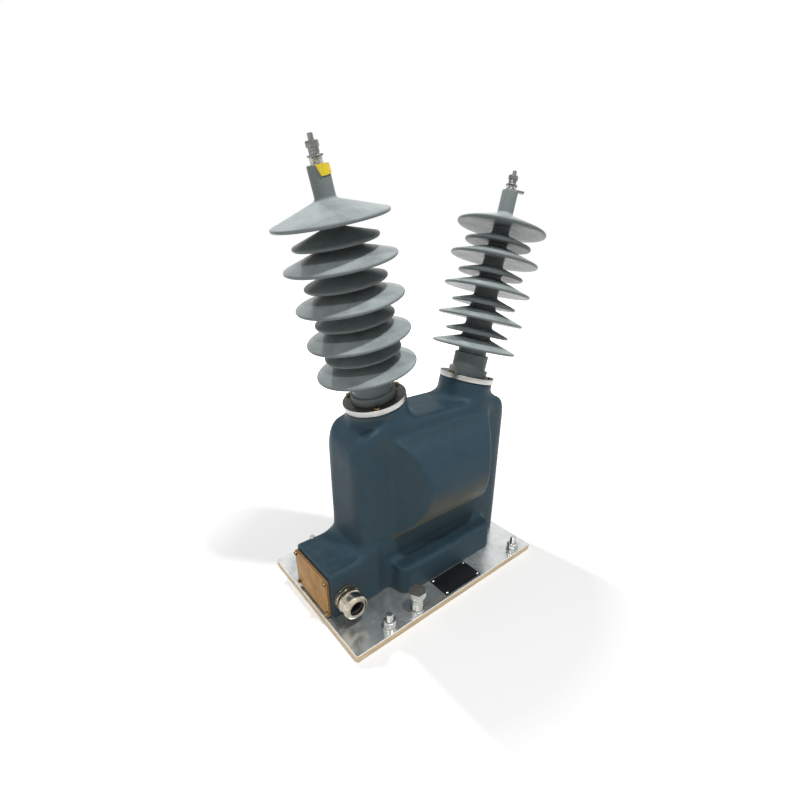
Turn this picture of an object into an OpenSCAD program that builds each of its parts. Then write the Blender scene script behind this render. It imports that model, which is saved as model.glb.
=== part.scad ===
// Outdoor instrument transformer: a two-pole voltage transformer cast in resin.
// Millimetres. The origin is the centre of the base plate's underside, +Z is up,
// +X runs along the plate away from the terminal box, and the front faces -Y.

/* [Base plate] */
// Length of the base plate
plate_l = 420; // [400:1:520]
// Width of the base plate
plate_w = 280; // [264:1:360]
// Thickness of the base plate
plate_t = 12; // [8:0.5:20]
// Rounding of the plate's corners
plate_corner_r = 4; // [2:0.5:8]
// Bevel along the plate's upper edges
plate_bevel = 1; // [0.5:0.25:2]

/* [Cast body] */
// Offset of the body's centre from the plate's centre
body_x = 32; // [24:1:36]
// Length of the slab
slab_l = 345; // [330:1:356]
// Width of the slab at the plate
slab_w = 114; // [108:1:122]
// Height of the slab above the plate
slab_h = 308; // [298:1:330]
// Side draft of the slab, in degrees
slab_draft = 0.75; // [0.3:0.05:1.2]
// Radius of the slab's two shoulders
slab_shoulder_r = 58; // [48:1:64]
// Radius of the slab's upright edges
slab_edge_r = 33; // [26:1:38]
// Radius of the long top ridges
slab_ridge_r = 16; // [8:1:20]
// Radius of the coil bulge
bulge_r = 104; // [98:1:112]
// Length of the coil bulge where it leaves the slab
bulge_l = 209; // [190:1:230]
// Length of the coil bulge along its crest
bulge_crest_l = 140; // [130:1:160]
// Height of the coil's axis above the plate
coil_h = 194; // [190:1:200]
// Length of the low step
step_l = 229; // [210:1:250]
// Width of the low step
step_w = 178; // [160:1:196]
// Height of the low step above the plate
step_h = 56; // [50:1:70]
// Rounding of the step's upper edges
step_ridge_r = 12; // [6:1:18]
// Rounding of the step's upright edges
step_edge_r = 20; // [12:1:26]

/* [Terminal box] */
// Length of the box beyond the slab
box_l = 60; // [52:1:62]
// Width of the box
box_w = 112; // [106:1:116]
// Height of the box above the plate
box_h = 88; // [84:1:96]
// Rounding of the box's upper edges
box_ridge_r = 8; // [4:1:12]
// Radius of the cove between the box and the slab
box_cove_r = 15; // [8:1:20]
// Width of the box's cavity
cavity_w = 88; // [84:1:94]
// Height of the box's cavity
cavity_h = 58; // [54:1:62]
// Depth of the box's cavity
cavity_d = 48; // [40:1:52]
// Corner radius of the cavity
cavity_r = 5; // [3:0.5:8]
// Width of the cover
cover_w = 107; // [104:1:112]
// Height of the cover
cover_h = 73; // [72:1:78]
// Thickness of the cover
cover_t = 4; // [2:0.5:6]
// Height of the cover's middle above the plate
cover_mid_h = 41.5; // [40:0.5:44]
// Thickness of the cover's gasket
cover_gasket_t = 1.5; // [1:0.25:3]
// Distance of the cover screws from the cover's edges
cover_screw_inset = 5.5; // [5:0.25:7]
// Radius of a cover screw
cover_screw_r = 2; // [1.5:0.25:2.5]
// Length of a cover screw below its head
cover_screw_l = 18; // [12:1:24]
// Height of a cover screw's head
cover_head_h = 3.9; // [2.5:0.1:4]

/* [Secondary terminals] */
// Radius of a secondary stud
sec_stud_r = 3; // [2.5:0.25:4]
// Distance between the secondary studs
sec_stud_gap = 44; // [36:1:50]
// Free length of a secondary stud in the box
sec_stud_free = 26; // [18:1:30]
// Length of a secondary stud inside the casting
sec_stud_set = 40; // [36:1:46]
// Radius of a secondary lead
sec_lead_r = 2; // [1.5:0.25:3]

/* [Cable gland] */
// Distance of the gland's axis from the box's open end
gland_inset = 24; // [23.5:0.5:26]
// Height of the gland's axis above the plate
gland_h = 38; // [37:0.5:42]
// Radius of the gland's thread
gland_thread_r = 16; // [14:0.5:17]
// Radius of the gland's ribbed barrel
gland_barrel_r = 20.5; // [19:0.25:22]
// Length of the gland's ribbed barrel
gland_barrel_l = 10; // [7:0.5:13]
// Radius of the grooves between the barrel's ribs
gland_groove_r = 1.2; // [0.8:0.1:1.5]
// Width of the gland's lock nut across flats
gland_hex = 40; // [38:0.5:42]
// Thickness of the lock nut inside the box
gland_nut_t = 6; // [4:0.5:8]
// Outside radius of the cap nut
gland_cap_r = 21; // [19.5:0.25:22]
// Length of the cap nut
gland_cap_l = 24; // [20:0.5:28]
// Radius of the cap nut's open mouth
gland_mouth_r = 12.25; // [12:0.25:15]
// Number of grip flutes around the cap nut
gland_flutes = 18; // [12:1:24]
// Radius of the cable hole in the seal
cable_r = 10; // [6:0.25:11]

/* [Bushings] */
// Distance of each bushing seat from the body's middle
seat_x = 101; // [96:1:106]
// Height of the seat's middle above the slab
seat_rise = 22.4; // [20:0.2:26]
// Lean of each bushing away from the upright, in degrees
lean = 13.6; // [10:0.2:16]
// Radius of a turret
turret_r = 48.5; // [47:0.5:50]
// Number of sheds on a bushing
shed_count = 9; // [5:2:9]
// Radius of a large shed
shed_large_r = 74.5; // [66:0.5:80]
// Radius of a small shed
shed_small_r = 56; // [48:0.5:62]
// Distance from one shed to the next
shed_pitch = 24.25; // [22:0.25:26]
// Station of the lowest shed's rim
shed_first = 58; // [54:0.5:62]
// Radius of a shed's rounded rim
shed_rim_r = 2.4; // [1.8:0.1:3]
// Fall of a shed's upper side, in degrees
shed_fall = 17.5; // [8:0.5:20]
// Fall of a shed's under side, in degrees
shed_under = 3; // [1:0.5:5]
// Radius of the fillet where a shed meets the shank
shed_fillet_r = 5; // [3:0.5:8]
// Radius of the shank under the lowest shed
shank_r = 25.5; // [22:0.5:27]
// Radius of the shank under the uppermost shed
shank_top_r = 14.3; // [13.5:0.1:18]
// Radius of the bushing's upper foot
foot_upper_r = 30.5; // [28:0.5:33]
// Station of the top of the upper foot
foot_upper_top = 46; // [40:0.5:48]
// Radius of the bushing's lower foot
foot_lower_r = 35; // [33.5:0.5:36]
// Station of the top of the lower foot
foot_lower_top = 20; // [16:0.5:24]
// Radius of the clamped flange on the bushing
clamp_flange_r = 39; // [37.5:0.25:39.5]
// Thickness of the clamped flange on the bushing
clamp_flange_t = 4; // [3:0.25:5]
// Radius of the neck above the sheds
neck_r = 13; // [11:0.5:15]
// Station of the neck's top
neck_top = 308; // [302:1:314]
// Thickness of the gasket under a bushing
seat_gasket_t = 2; // [1:0.25:3]
// Outside radius of a flange ring
ring_r = 50; // [49:0.25:54]
// Thickness of a flange ring
ring_t = 9; // [8:0.25:11]
// Radius of the circle of flange screws
ring_screw_circle = 43.5; // [43.5:0.25:45]
// Number of flange screws
ring_screw_count = 3; // [3:1:6]
// Radius of a flange screw
ring_screw_r = 3; // [2:0.25:3]
// Length of a flange screw below its head
ring_screw_l = 28; // [18:1:32]

/* [Primary terminals] */
// Radius of the conductor inside a bushing
conductor_r = 6; // [5.5:0.25:8]
// Radius of the terminal stud
terminal_r = 4; // [3.5:0.25:5]
// Length of the terminal stud above the neck
terminal_l = 29; // [28:0.5:36]
// Radius of the stud's turned-down tip
terminal_tip_r = 3.2; // [2.5:0.1:3.4]
// Radius of the wide flat washer on the terminal stud
terminal_washer_r = 9.5; // [7.5:0.25:12]
// Radius of the coiled spring washer
coil_washer_r = 6.2; // [5.5:0.1:8]
// Height of the coiled spring washer
coil_washer_l = 6.4; // [3:0.2:6.6]
// Radius of the collar sleeve
sleeve_r = 7.5; // [6.5:0.25:9]
// Length of the collar sleeve
sleeve_l = 7; // [5:0.5:8]
// Radius of the lead to the primary winding
primary_lead_r = 3; // [2:0.25:4]
// Thickness of the tab washer
tab_t = 3; // [2:0.25:3.5]
// Reach of the tab from the stud's axis
tab_reach = 22; // [18:0.5:26]
// Width of the tab
tab_w = 9; // [6:0.5:12]
// Height of the yellow marker
marker_h = 12; // [8:0.5:14]
// Thickness of the yellow marker
marker_t = 1; // [0.6:0.1:1.5]
// Angle that the marker wraps round the neck
marker_wrap = 78; // [50:1:110]

/* [Core and windings] */
// Length of the core
core_l = 196; // [190:1:204]
// Width of the core's legs and height of its limb
core_leg = 40; // [36:1:42]
// Height of the core's lower yoke
core_yoke = 36; // [30:1:38]
// Thickness of the stacked laminations
core_stack = 40; // [34:1:42]
// Height of the yoke's underside above the plate
core_floor = 14; // [12:0.5:16]
// Outside radius of the primary winding
primary_r = 88; // [80:1:90]
// Outside radius of the secondary winding
secondary_r = 48; // [40:1:54]
// Gap around each piece that is set in the resin
set_gap = 0.2; // [0.1:0.05:0.4]

/* [Plate hardware] */
// Distance between the plate studs along the plate
stud_span_x = 309; // [300:1:316]
// Distance between the plate studs across the plate
stud_span_y = 252; // [240:1:254]
// Offset of the stud pattern from the plate's centre
stud_x = 15.5; // [12:0.5:18]
// Radius of a plate stud
stud_r = 6; // [5:0.5:6]
// Height of a plate stud above the plate
stud_h = 29; // [26:0.5:40]
// Length of the bare black plate
label_l = 86.5; // [70:0.5:96]
// Gap between the bare black plate and the low step
label_gap = 1.2; // [0.4:0.1:3]
// Thickness of the bare black plate
label_t = 1.2; // [0.8:0.1:2]
// Place of the black plate along the base plate
label_x = 21.5; // [10:0.5:30]
// Distance of the black plate from the base plate's front edge
label_inset = 4.2; // [2.4:0.2:8]
// Radius of a rivet's shank
rivet_r = 1.6; // [1:0.1:2]
// Length of a rivet's shank
rivet_l = 6; // [4:0.5:7]
// Distance of the rivets from the black plate's edges
rivet_inset = 4.5; // [4:0.25:6]
// Place of the earth terminal along the base plate
earth_x = -81; // [-90:1:-70]
// Distance of the earth terminal from the front edge
earth_inset = 15; // [14.5:0.5:20]
// Radius of the earth stud
earth_r = 6; // [5:0.25:6]
// Width of the earth terminal's long nut across flats
earth_long_hex = 17.5; // [17:0.5:21]
// Height of the earth terminal's long nut
earth_long_h = 22; // [16:0.5:26]
// Width of the earth terminal's clamp nut across flats
earth_clamp_hex = 26; // [22:0.5:27]
// Height of the earth terminal's clamp nut
earth_clamp_h = 17; // [12:0.5:20]
// Radius of the clamp nut's tapered foot
earth_foot_r = 10.5; // [10:0.25:12]
// Height of the clamp nut's taper
earth_taper_h = 9; // [4:0.5:10]
// Length between the body screws
body_screw_span_x = 160; // [140:1:176]
// Width between the body screws
body_screw_span_y = 116; // [108:1:128]
// Radius of a body screw
body_screw_r = 5; // [4:0.25:6]
// Radius of a cast-in insert
insert_r = 9; // [8:0.25:11]
// Length of a cast-in insert
insert_l = 26; // [20:1:34]

/* [Hidden] */
$fn = 72;

LEFT = -1;
RIGHT = 1;
// Overshoot of a cutting shape beyond the face that it cuts
cut = 1;
// Radial room between a thread or shank and its hole
thread_gap = 0.1;
// Room between a piece and the recess that holds it
seat_gap = 0.3;
// Trim that lets the slab's three outlines cross instead of coinciding
outline_trim = 1.5;
// Straight steps in each round stretch of a bushing's outline
arc_steps = 6;
// Share of a hexagon's width that stays flat at its ends
hex_face = 0.95;
// Slope of the corners turned off a hexagon, in degrees
hex_slope = 30;
// Slant of the cut through a spring washer, in degrees
spring_slant = 25;

// Standard washer, spring washer and nut sizes, from the stud's radius
function washer_r(r) = 2 * r;
function washer_t(r) = 0.21 * r + 1.2;
function spring_r(r) = 1.7 * r;
function spring_t(r) = 0.4 * r + 1;
function nut_flats(r) = 2.6 * r + 3.5;
function nut_t(r) = 1.7 * r;
function head_r(r) = 1.75 * r;
function head_t(r) = 1.2 * r;

slab_top = plate_t + slab_h;
coil_z = plate_t + coil_h;
body_end = body_x - slab_l / 2;
box_end = body_end - box_l;
box_top = plate_t + box_h;
cover_z = plate_t + cover_mid_h;
cavity_back = box_end + cavity_d;
gland_x = box_end + gland_inset;
gland_z = plate_t + gland_h;
gland_face = -box_w / 2;
gland_wall = (box_w - cavity_w) / 2;
gland_collar_l = gland_cap_l / 4;
// Room between the cable and the gland's bore
cable_gap = 1;
gland_bore_r = cable_r + cable_gap;
// Room between the seal and the cap nut's bore
gland_seal_gap = 2;
gland_seal_r = gland_thread_r - gland_seal_gap;
// Thickness of the cap nut's lip over the seal
gland_lip = 4;
gland_cap_start = gland_barrel_l + gland_collar_l / 2;
gland_seal_start = gland_cap_start + gland_cap_l / 4;
gland_seal_end = gland_cap_start + gland_cap_l - gland_lip - 2 * seat_gap;
gland_cap_bore_r = gland_thread_r + thread_gap;

seat_z = slab_top + seat_rise;
// Depth of a turret's root inside the slab
turret_depth = 50;
// Rounding of the neck's top edge
neck_edge_r = 1.5;
// Least length of bare shank between a shed's fillet and the next shed
shank_land = 0.4;
// Share of the primary winding's radius at which its leads meet it
primary_tap = 0.84;
conductor_foot = -(seat_z - (coil_z + primary_tap * primary_r)) / cos(lean);
marker_top = neck_top - seat_gap;
marker_r = neck_r + thread_gap;
// Directions of the tab and of the marker's first edge about the stud, in degrees
tab_angle = -41;
marker_angle = -122;
// Slant of the marker's cut corner, in degrees
marker_slant = 36;
// Station of the terminal's flat washer
washer_foot = neck_top + sleeve_l;
spring_foot = washer_foot + washer_t(terminal_r);
terminal_nut_foot = spring_foot + coil_washer_l;
terminal_nut_top = terminal_nut_foot + nut_t(terminal_r);
// Directions of each terminal nut's first corner, in degrees
left_nut_turn = -11.5;
right_nut_turn = 24;

core_floor_z = plate_t + core_floor;
core_window_l = core_l - 2 * core_leg;
core_top_z = coil_z + core_leg / 2;
coil_half = core_window_l / 2 - set_gap;
secondary_bore_r = norm([core_leg, core_stack]) / 2 + seat_gap;
primary_bore_r = secondary_r + seat_gap;
// Distance of a secondary lead from the core's side
lead_clear = 10;
lead_side = core_stack / 2 + lead_clear;
lead_mid_r = (secondary_bore_r + secondary_r) / 2;
lead_drop = sqrt(pow(lead_mid_r, 2) - pow(lead_side, 2));
lead_start = [body_x - coil_half - set_gap, lead_side, coil_z - lead_drop];
stud_inner = cavity_back + sec_stud_set;
lead_end = [stud_inner + set_gap, sec_stud_gap / 2, cover_z];
// Length of the straight stub at each end of a secondary lead
lead_stub = 10;
// Swelling of a secondary lead at its bends
lead_bend_r = 1.1 * sec_lead_r;

// The black plate fills the base plate's front margin, less its two gaps
label_w = (plate_w - step_w) / 2 - label_inset - label_gap;
label_y = -plate_w / 2 + label_inset + label_w / 2;
earth_y = -plate_w / 2 + earth_inset;
earth_washer_top = plate_t + washer_t(earth_r);
earth_long_top = earth_washer_top + earth_long_h;

// Plain 2D outlines

// Rectangle about the origin with round corners
module rounded_rect(l, w, r) {
    square([l - 2 * r, w], center = true);
    square([l, w - 2 * r], center = true);
    for (x = [-1, 1], y = [-1, 1]) translate([x * (l / 2 - r), y * (w / 2 - r)]) circle(r);
}

// Upright outline of length l and height h whose upper corners are round
module round_top(l, h, r) {
    translate([-l / 2, 0]) square([l, h - r]);
    translate([-l / 2 + r, 0]) square([l - 2 * r, h]);
    for (x = [-1, 1]) translate([x * (l / 2 - r), h - r]) circle(r);
}

// Outline that narrows upwards by a draft angle and has round upper corners
module drafted(half, h, draft, r) {
    side_z = h - r + r * sin(draft);
    side_x = half - side_z * tan(draft);
    mid_x = side_x - r * cos(draft);
    polygon([[-half, 0], [half, 0], [side_x, side_z], [mid_x, h], [-mid_x, h], [-side_x, side_z]]);
    for (x = [-1, 1]) translate([x * mid_x, h - r]) circle(r);
}

// Placing helpers

// Extrudes an outline drawn in Y and Z along X, from x0 over length l
module along_x(x0, l) {
    translate([x0, 0, 0]) rotate([90, 0, 90]) linear_extrude(l) children();
}

// Extrudes an outline drawn in X and Z over the width w about Y = 0
module across_y(w) {
    translate([0, w / 2, 0]) rotate([90, 0, 0]) linear_extrude(w) children();
}

// Moves a bushing's own frame, with its seat at zero, onto its turret
module at_seat(side) {
    translate([body_x + side * seat_x, 0, seat_z]) rotate([0, side * lean, 0]) children();
}

// Turns a shape that points up so that it points out of the gland's wall
module at_gland() {
    translate([gland_x, gland_face, gland_z]) rotate([90, 0, 0]) children();
}

// Turns a shape that points up so that it points out of the open box, at station x
module at_box_end(x) {
    translate([x, 0, cover_z]) rotate([0, -90, 0]) children();
}

module at_corners(l, w) {
    for (x = [-1, 1], y = [-1, 1]) translate([x * l / 2, y * w / 2, 0]) children();
}

module at_plate_studs() {
    translate([stud_x, 0, 0]) at_corners(stud_span_x, stud_span_y) children();
}

module at_rivets() {
    translate([label_x, label_y, 0])
        at_corners(label_l - 2 * rivet_inset, label_w - 2 * rivet_inset) children();
}

module at_earth(z) {
    translate([earth_x, earth_y, z]) children();
}

module at_body_screws() {
    translate([body_x, 0, 0]) at_corners(body_screw_span_x, body_screw_span_y) children();
}

module at_cover_screws() {
    at_corners(cover_h - 2 * cover_screw_inset, cover_w - 2 * cover_screw_inset) children();
}

module at_secondary_studs() {
    for (y = [-1, 1]) translate([0, y * sec_stud_gap / 2, 0]) children();
}

module at_ring_screws(side) {
    start = side == LEFT ? 0 : 180;
    for (i = [0 : ring_screw_count - 1])
        rotate(start + i * 360 / ring_screw_count) translate([ring_screw_circle, 0, 0]) children();
}

// Plain hardware, each standing on z = 0

module ring(outer, inner, h) {
    difference() {
        cylinder(r = outer, h = h);
        translate([0, 0, -cut]) cylinder(r = inner, h = h + 2 * cut);
    }
}

module washer(r) {
    ring(washer_r(r), r + thread_gap, washer_t(r));
}

// Split ring with a slanting cut
module split_ring(outer, inner, h) {
    difference() {
        ring(outer, inner, h);
        translate([(outer + inner) / 2, 0, h / 2]) rotate([spring_slant, 0, 0])
            cube([2 * (outer - inner), h / 3, 4 * h], center = true);
    }
}

module spring_washer(r) {
    split_ring(spring_r(r), r + thread_gap, spring_t(r));
}

// Hexagon whose corners are turned off at both ends
module hexagon(flats, h) {
    corner = flats / sqrt(3);
    bevel = corner - hex_face * flats / 2;
    drop = bevel * tan(hex_slope);
    intersection() {
        cylinder(r = corner, h = h, $fn = 6);
        rotate_extrude() polygon([
            [0, 0], [corner - bevel, 0], [corner, drop], [corner, h - drop], [corner - bevel, h], [0, h]
        ]);
    }
}

module nut(r, flats, h) {
    difference() {
        hexagon(flats, h);
        translate([0, 0, -cut]) cylinder(r = r + thread_gap, h = h + 2 * cut);
    }
}

// Plain rod with a turned-off tip
module stud(r, h) {
    tip = r / 5;
    cylinder(r = r, h = h - tip);
    translate([0, 0, h - tip]) cylinder(r1 = r, r2 = r - tip, h = tip);
}

// Round-headed screw that hangs from z = 0, with its shank below
module pan_screw(r, l) {
    translate([0, 0, -l]) cylinder(r = r, h = l + head_t(r) / 2);
    rotate_extrude() intersection() {
        translate([0, -2 * head_r(r) + head_t(r)]) circle(2 * head_r(r));
        square([head_r(r), head_t(r)]);
    }
}

// Screw with a tall round head, hanging from z = 0 with its shank below
module cheese_screw(r, l, head_h) {
    edge = r / 4;
    translate([0, 0, -l]) cylinder(r = r, h = l + head_h / 2);
    cylinder(r = head_r(r), h = head_h - edge);
    translate([0, 0, head_h - edge]) cylinder(r1 = head_r(r), r2 = head_r(r) - edge, h = edge);
}

// Rod from p to q
module rod(p, q, r) {
    d = q - p;
    translate(p) rotate([0, acos(d.z / norm(d)), atan2(d.y, d.x)]) cylinder(r = r, h = norm(d));
}

// Base plate and what holds the body to it

module base_plate() {
    color("lightslategray") difference() {
        intersection() {
            linear_extrude(plate_t) rounded_rect(plate_l, plate_w, plate_corner_r);
            across_y(plate_w + 2 * cut) bevelled(plate_l);
            along_x(-plate_l / 2 - cut, plate_l + 2 * cut) bevelled(plate_w);
        }
        at_plate_studs() translate([0, 0, -cut]) cylinder(r = stud_r + thread_gap, h = plate_t + 2 * cut);
        at_rivets() translate([0, 0, plate_t + label_t - rivet_l - thread_gap])
            cylinder(r = rivet_r + thread_gap, h = rivet_l);
        at_body_screws() {
            translate([0, 0, -cut]) cylinder(r = body_screw_r + thread_gap, h = plate_t + 2 * cut);
            sink_cone(thread_gap);
        }
        at_earth(-cut) cylinder(r = earth_r + thread_gap, h = plate_t + 2 * cut);
    }
}

// Section of the plate, of width w, with its two upper corners bevelled
module bevelled(w) {
    top = w / 2 - plate_bevel;
    polygon([
        [-w / 2, -cut], [w / 2, -cut], [w / 2, plate_t - plate_bevel], [top, plate_t],
        [-top, plate_t], [-w / 2, plate_t - plate_bevel]
    ]);
}

// Cone of a countersunk head, flush with the plate's underside
module sink_cone(gap) {
    cylinder(r1 = 2 * body_screw_r + gap, r2 = body_screw_r + gap, h = body_screw_r);
}

module body_screws() {
    color("silver") at_body_screws() {
        sink_cone(0);
        cylinder(r = body_screw_r, h = plate_t + insert_l / 2);
    }
}

module body_inserts() {
    color("darkgoldenrod") at_body_screws() translate([0, 0, plate_t]) difference() {
        cylinder(r = insert_r, h = insert_l);
        translate([0, 0, -cut]) cylinder(r = body_screw_r + thread_gap, h = insert_l / 2 + 2 * cut);
    }
}

// Cast body

// Slab: what is common to its front outline, its footprint and its end outline
module slab() {
    translate([body_x, 0, 0]) intersection() {
        translate([0, 0, plate_t]) across_y(2 * slab_w) round_top(slab_l, slab_h, slab_shoulder_r);
        translate([0, 0, plate_t - cut]) linear_extrude(slab_h + 4 * cut)
            rounded_rect(slab_l + outline_trim, slab_w + outline_trim, slab_edge_r);
        translate([0, 0, plate_t - cut]) along_x(-slab_l, 2 * slab_l)
            drafted(slab_w / 2, slab_h + cut + outline_trim / 2, slab_draft, slab_ridge_r);
    }
}

// Barrel about the coil's axis whose ends slope in towards its front and back crests
module bulge() {
    root = bulge_l / 2;
    wall = slab_w / 2;
    reach = bulge_r + cut;
    crest = root - (root - bulge_crest_l / 2) * (reach - wall) / (bulge_r - wall);
    translate([body_x, 0, coil_z]) intersection() {
        rotate([0, 90, 0]) cylinder(r = bulge_r, h = bulge_l + 2 * cut, center = true);
        translate([0, 0, -reach]) linear_extrude(2 * reach) polygon([
            [-root, -wall], [-crest, -reach], [crest, -reach], [root, -wall],
            [root, wall], [crest, reach], [-crest, reach], [-root, wall]
        ]);
    }
}

module low_step() {
    translate([body_x, 0, 0]) intersection() {
        translate([0, 0, plate_t]) linear_extrude(2 * step_h)
            rounded_rect(step_l, step_w + outline_trim, step_edge_r);
        translate([0, 0, plate_t - cut]) along_x(-step_l, 2 * step_l)
            drafted(step_w / 2, step_h + cut, 2 * slab_draft, step_ridge_r);
    }
}

module terminal_box() {
    translate([0, 0, plate_t]) along_x(box_end, box_l + slab_edge_r)
        drafted(box_w / 2, box_h, 0, box_ridge_r);
    translate([body_end - box_cove_r, 0, box_top - cut]) across_y(box_w - 2 * box_ridge_r) difference() {
        square(box_cove_r + cut);
        translate([0, box_cove_r + cut]) circle(box_cove_r);
    }
}

module turret(side) {
    at_seat(side) translate([0, 0, -turret_depth]) cylinder(r = turret_r, h = turret_depth);
}

module resin_body() {
    color("darkslategray") difference() {
        union() {
            slab();
            bulge();
            low_step();
            terminal_box();
            turret(LEFT);
            turret(RIGHT);
        }
        along_x(box_end - cut, cavity_d + cut) translate([0, cover_z])
            rounded_rect(cavity_w, cavity_h, cavity_r);
        at_gland() translate([0, 0, -gland_wall - cut])
            cylinder(r = gland_thread_r + thread_gap, h = gland_wall + 2 * cut);
        at_box_end(box_end) at_cover_screws() translate([0, 0, -cover_screw_l])
            cylinder(r = cover_screw_r + thread_gap, h = cover_screw_l + cut);
        translate([stud_inner, 0, cover_z]) rotate([0, -90, 0]) at_secondary_studs()
            cylinder(r = sec_stud_r + thread_gap, h = sec_stud_set + cut);
        for (side = [LEFT, RIGHT]) {
            primary_path(side, set_gap);
            at_seat(side) at_ring_screws(side) translate([0, 0, -ring_screw_l])
                cylinder(r = ring_screw_r + thread_gap, h = ring_screw_l + cut);
        }
        at_body_screws() translate([0, 0, plate_t - cut])
            cylinder(r = insert_r + set_gap, h = insert_l + set_gap + cut);
        core_shape(set_gap);
        coil(primary_r + set_gap, 0, coil_half + set_gap);
        for (y = [-1, 1]) secondary_path(y, set_gap);
    }
}

// Core, windings and leads

// Closed frame of stacked laminations, grown by a gap
module core_shape(gap) {
    core_h = core_top_z - core_floor_z;
    window_h = core_h - core_leg - core_yoke;
    translate([body_x, 0, core_floor_z]) across_y(core_stack + 2 * gap) difference() {
        translate([-core_l / 2 - gap, -gap]) square([core_l + 2 * gap, core_h + 2 * gap]);
        translate([-core_window_l / 2 + gap, core_yoke + gap])
            square([core_window_l - 2 * gap, window_h - 2 * gap]);
    }
}

// Barrel or tube about the coil's axis
module coil(outer, inner, half) {
    translate([body_x, 0, coil_z]) rotate([0, 90, 0]) difference() {
        cylinder(r = outer, h = 2 * half, center = true);
        if (inner > 0) cylinder(r = inner, h = 2 * half + 2 * cut, center = true);
    }
}

module iron_core() {
    color("dimgray") core_shape(0);
}

module primary_winding() {
    color("peru") coil(primary_r, primary_bore_r, coil_half);
}

module secondary_winding() {
    color("sienna") coil(secondary_r, secondary_bore_r, coil_half);
}

// One lead from the secondary winding's end to a secondary stud, grown by a gap
module secondary_path(y, gap) {
    side = [1, y, 1];
    a = [for (i = [0 : 2]) lead_start[i] * side[i]];
    b = a - [lead_stub, 0, 0];
    d = [for (i = [0 : 2]) lead_end[i] * side[i]];
    c = d + [lead_stub, 0, 0];
    rod(a, b, sec_lead_r + gap);
    rod(b, c, sec_lead_r + gap);
    rod(c, d, sec_lead_r + gap);
    for (p = [b, c]) translate(p) sphere(lead_bend_r + gap);
}

module secondary_leads() {
    color("orangered") for (y = [-1, 1]) secondary_path(y, 0);
}

// Conductor down through the bushing and its lead to the primary winding, grown by a gap
module primary_path(side, gap) {
    foot = [body_x + side * (seat_x + conductor_foot * sin(lean)), 0, seat_z + conductor_foot * cos(lean)];
    at_seat(side) translate([0, 0, conductor_foot - conductor_r])
        cylinder(r = conductor_r + gap, h = -conductor_foot + conductor_r + cut);
    rod(foot, [body_x + side * (coil_half + set_gap - gap), 0, foot.z], primary_lead_r + gap);
}

module conductor(side) {
    color("goldenrod") {
        primary_path(side, 0);
        at_seat(side) {
            cylinder(r = conductor_r, h = neck_top);
            cylinder(r = terminal_r, h = terminal_nut_top);
            stud(terminal_tip_r, neck_top + terminal_l);
        }
    }
}

// Bushings, each drawn about +Z with its seat at zero

// Points of an arc about c, from angle a0 to angle a1
function arc(c, r, a0, a1) = [
    for (i = [0 : arc_steps]) let (a = a0 + (a1 - a0) * i / arc_steps) c + r * [cos(a), sin(a)]
];

// Sheds alternate, beginning and ending with a large one
function shed_r(i) = i % 2 == 0 ? shed_large_r : shed_small_r;
function shed_z(i) = shed_first + i * shed_pitch;
// The shank narrows upwards from shed to shed, and the uppermost shed runs up to the neck
function root_r(i) = i == shed_count - 1 ? neck_r
    : shank_r + (shank_top_r - shank_r) * i / (shed_count - 2);
function under_root_r(i) = i == 0 ? shank_r : root_r(i - 1);

// Middle of a shed's rim, and the ends of its upper and under sides on that rim
function shed_rim(i) = [shed_r(i) - shed_rim_r, shed_z(i)];
function shed_top(i) = shed_rim(i) + shed_rim_r * [sin(shed_fall), cos(shed_fall)];
function shed_below(i) = shed_rim(i) + shed_rim_r * [sin(shed_under), -cos(shed_under)];

// Stations of a shed's upper and under sides at the radius r
function upper_z(i, r) = shed_top(i).y + (shed_top(i).x - r) * tan(shed_fall);
function under_z(i, r) = shed_below(i).y + (shed_below(i).x - r) * tan(shed_under);

// A fillet is limited by the length of shank above its shed
function shank_end(i) = i == shed_count - 1 ? neck_top - neck_edge_r : under_z(i + 1, root_r(i));
function fillet_r(i) = min(
    shed_fillet_r,
    (shank_end(i) - upper_z(i, root_r(i)) - shank_land) * cos(shed_fall) / (1 - sin(shed_fall))
);

// Outline of shed i from its under side, round its rim and up its fillet
function shed_outline(i) = let (
    inner_r = under_root_r(i),
    fillet_x = root_r(i) + fillet_r(i),
    fillet_z = upper_z(i, fillet_x) + fillet_r(i) / cos(shed_fall)
) concat(
    [[inner_r, under_z(i, inner_r)]],
    arc(shed_rim(i), shed_rim_r, shed_under - 90, 90 - shed_fall),
    arc([fillet_x, fillet_z], fillet_r(i), -90 - shed_fall, -180)
);

module bushing(side) {
    bore = conductor_r + thread_gap;
    foot = seat_gasket_t;
    flange_top = foot + clamp_flange_t;
    color("gray") at_seat(side) rotate_extrude() polygon(concat(
        [
            [bore, foot], [clamp_flange_r, foot], [clamp_flange_r, flange_top], [foot_lower_r, flange_top],
            [foot_lower_r, foot_lower_top], [foot_upper_r, foot_lower_top], [foot_upper_r, foot_upper_top],
            [shank_r, foot_upper_top]
        ],
        [for (i = [0 : shed_count - 1]) each shed_outline(i)],
        arc([neck_r - neck_edge_r, neck_top - neck_edge_r], neck_edge_r, 0, 90),
        [[bore, neck_top]]
    ));
}

module bushing_gasket(side) {
    color("black") at_seat(side) ring(clamp_flange_r, conductor_r + set_gap, seat_gasket_t);
}

// Ring that clamps the bushing's flange down onto its gasket
module flange_ring(side) {
    color("whitesmoke") at_seat(side) difference() {
        cylinder(r = ring_r, h = ring_t);
        translate([0, 0, -cut])
            cylinder(r = clamp_flange_r + seat_gap, h = seat_gasket_t + clamp_flange_t + cut);
        cylinder(r = foot_lower_r + seat_gap, h = ring_t + cut);
        at_ring_screws(side) translate([0, 0, -cut])
            cylinder(r = ring_screw_r + thread_gap, h = ring_t + 2 * cut);
    }
}

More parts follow.
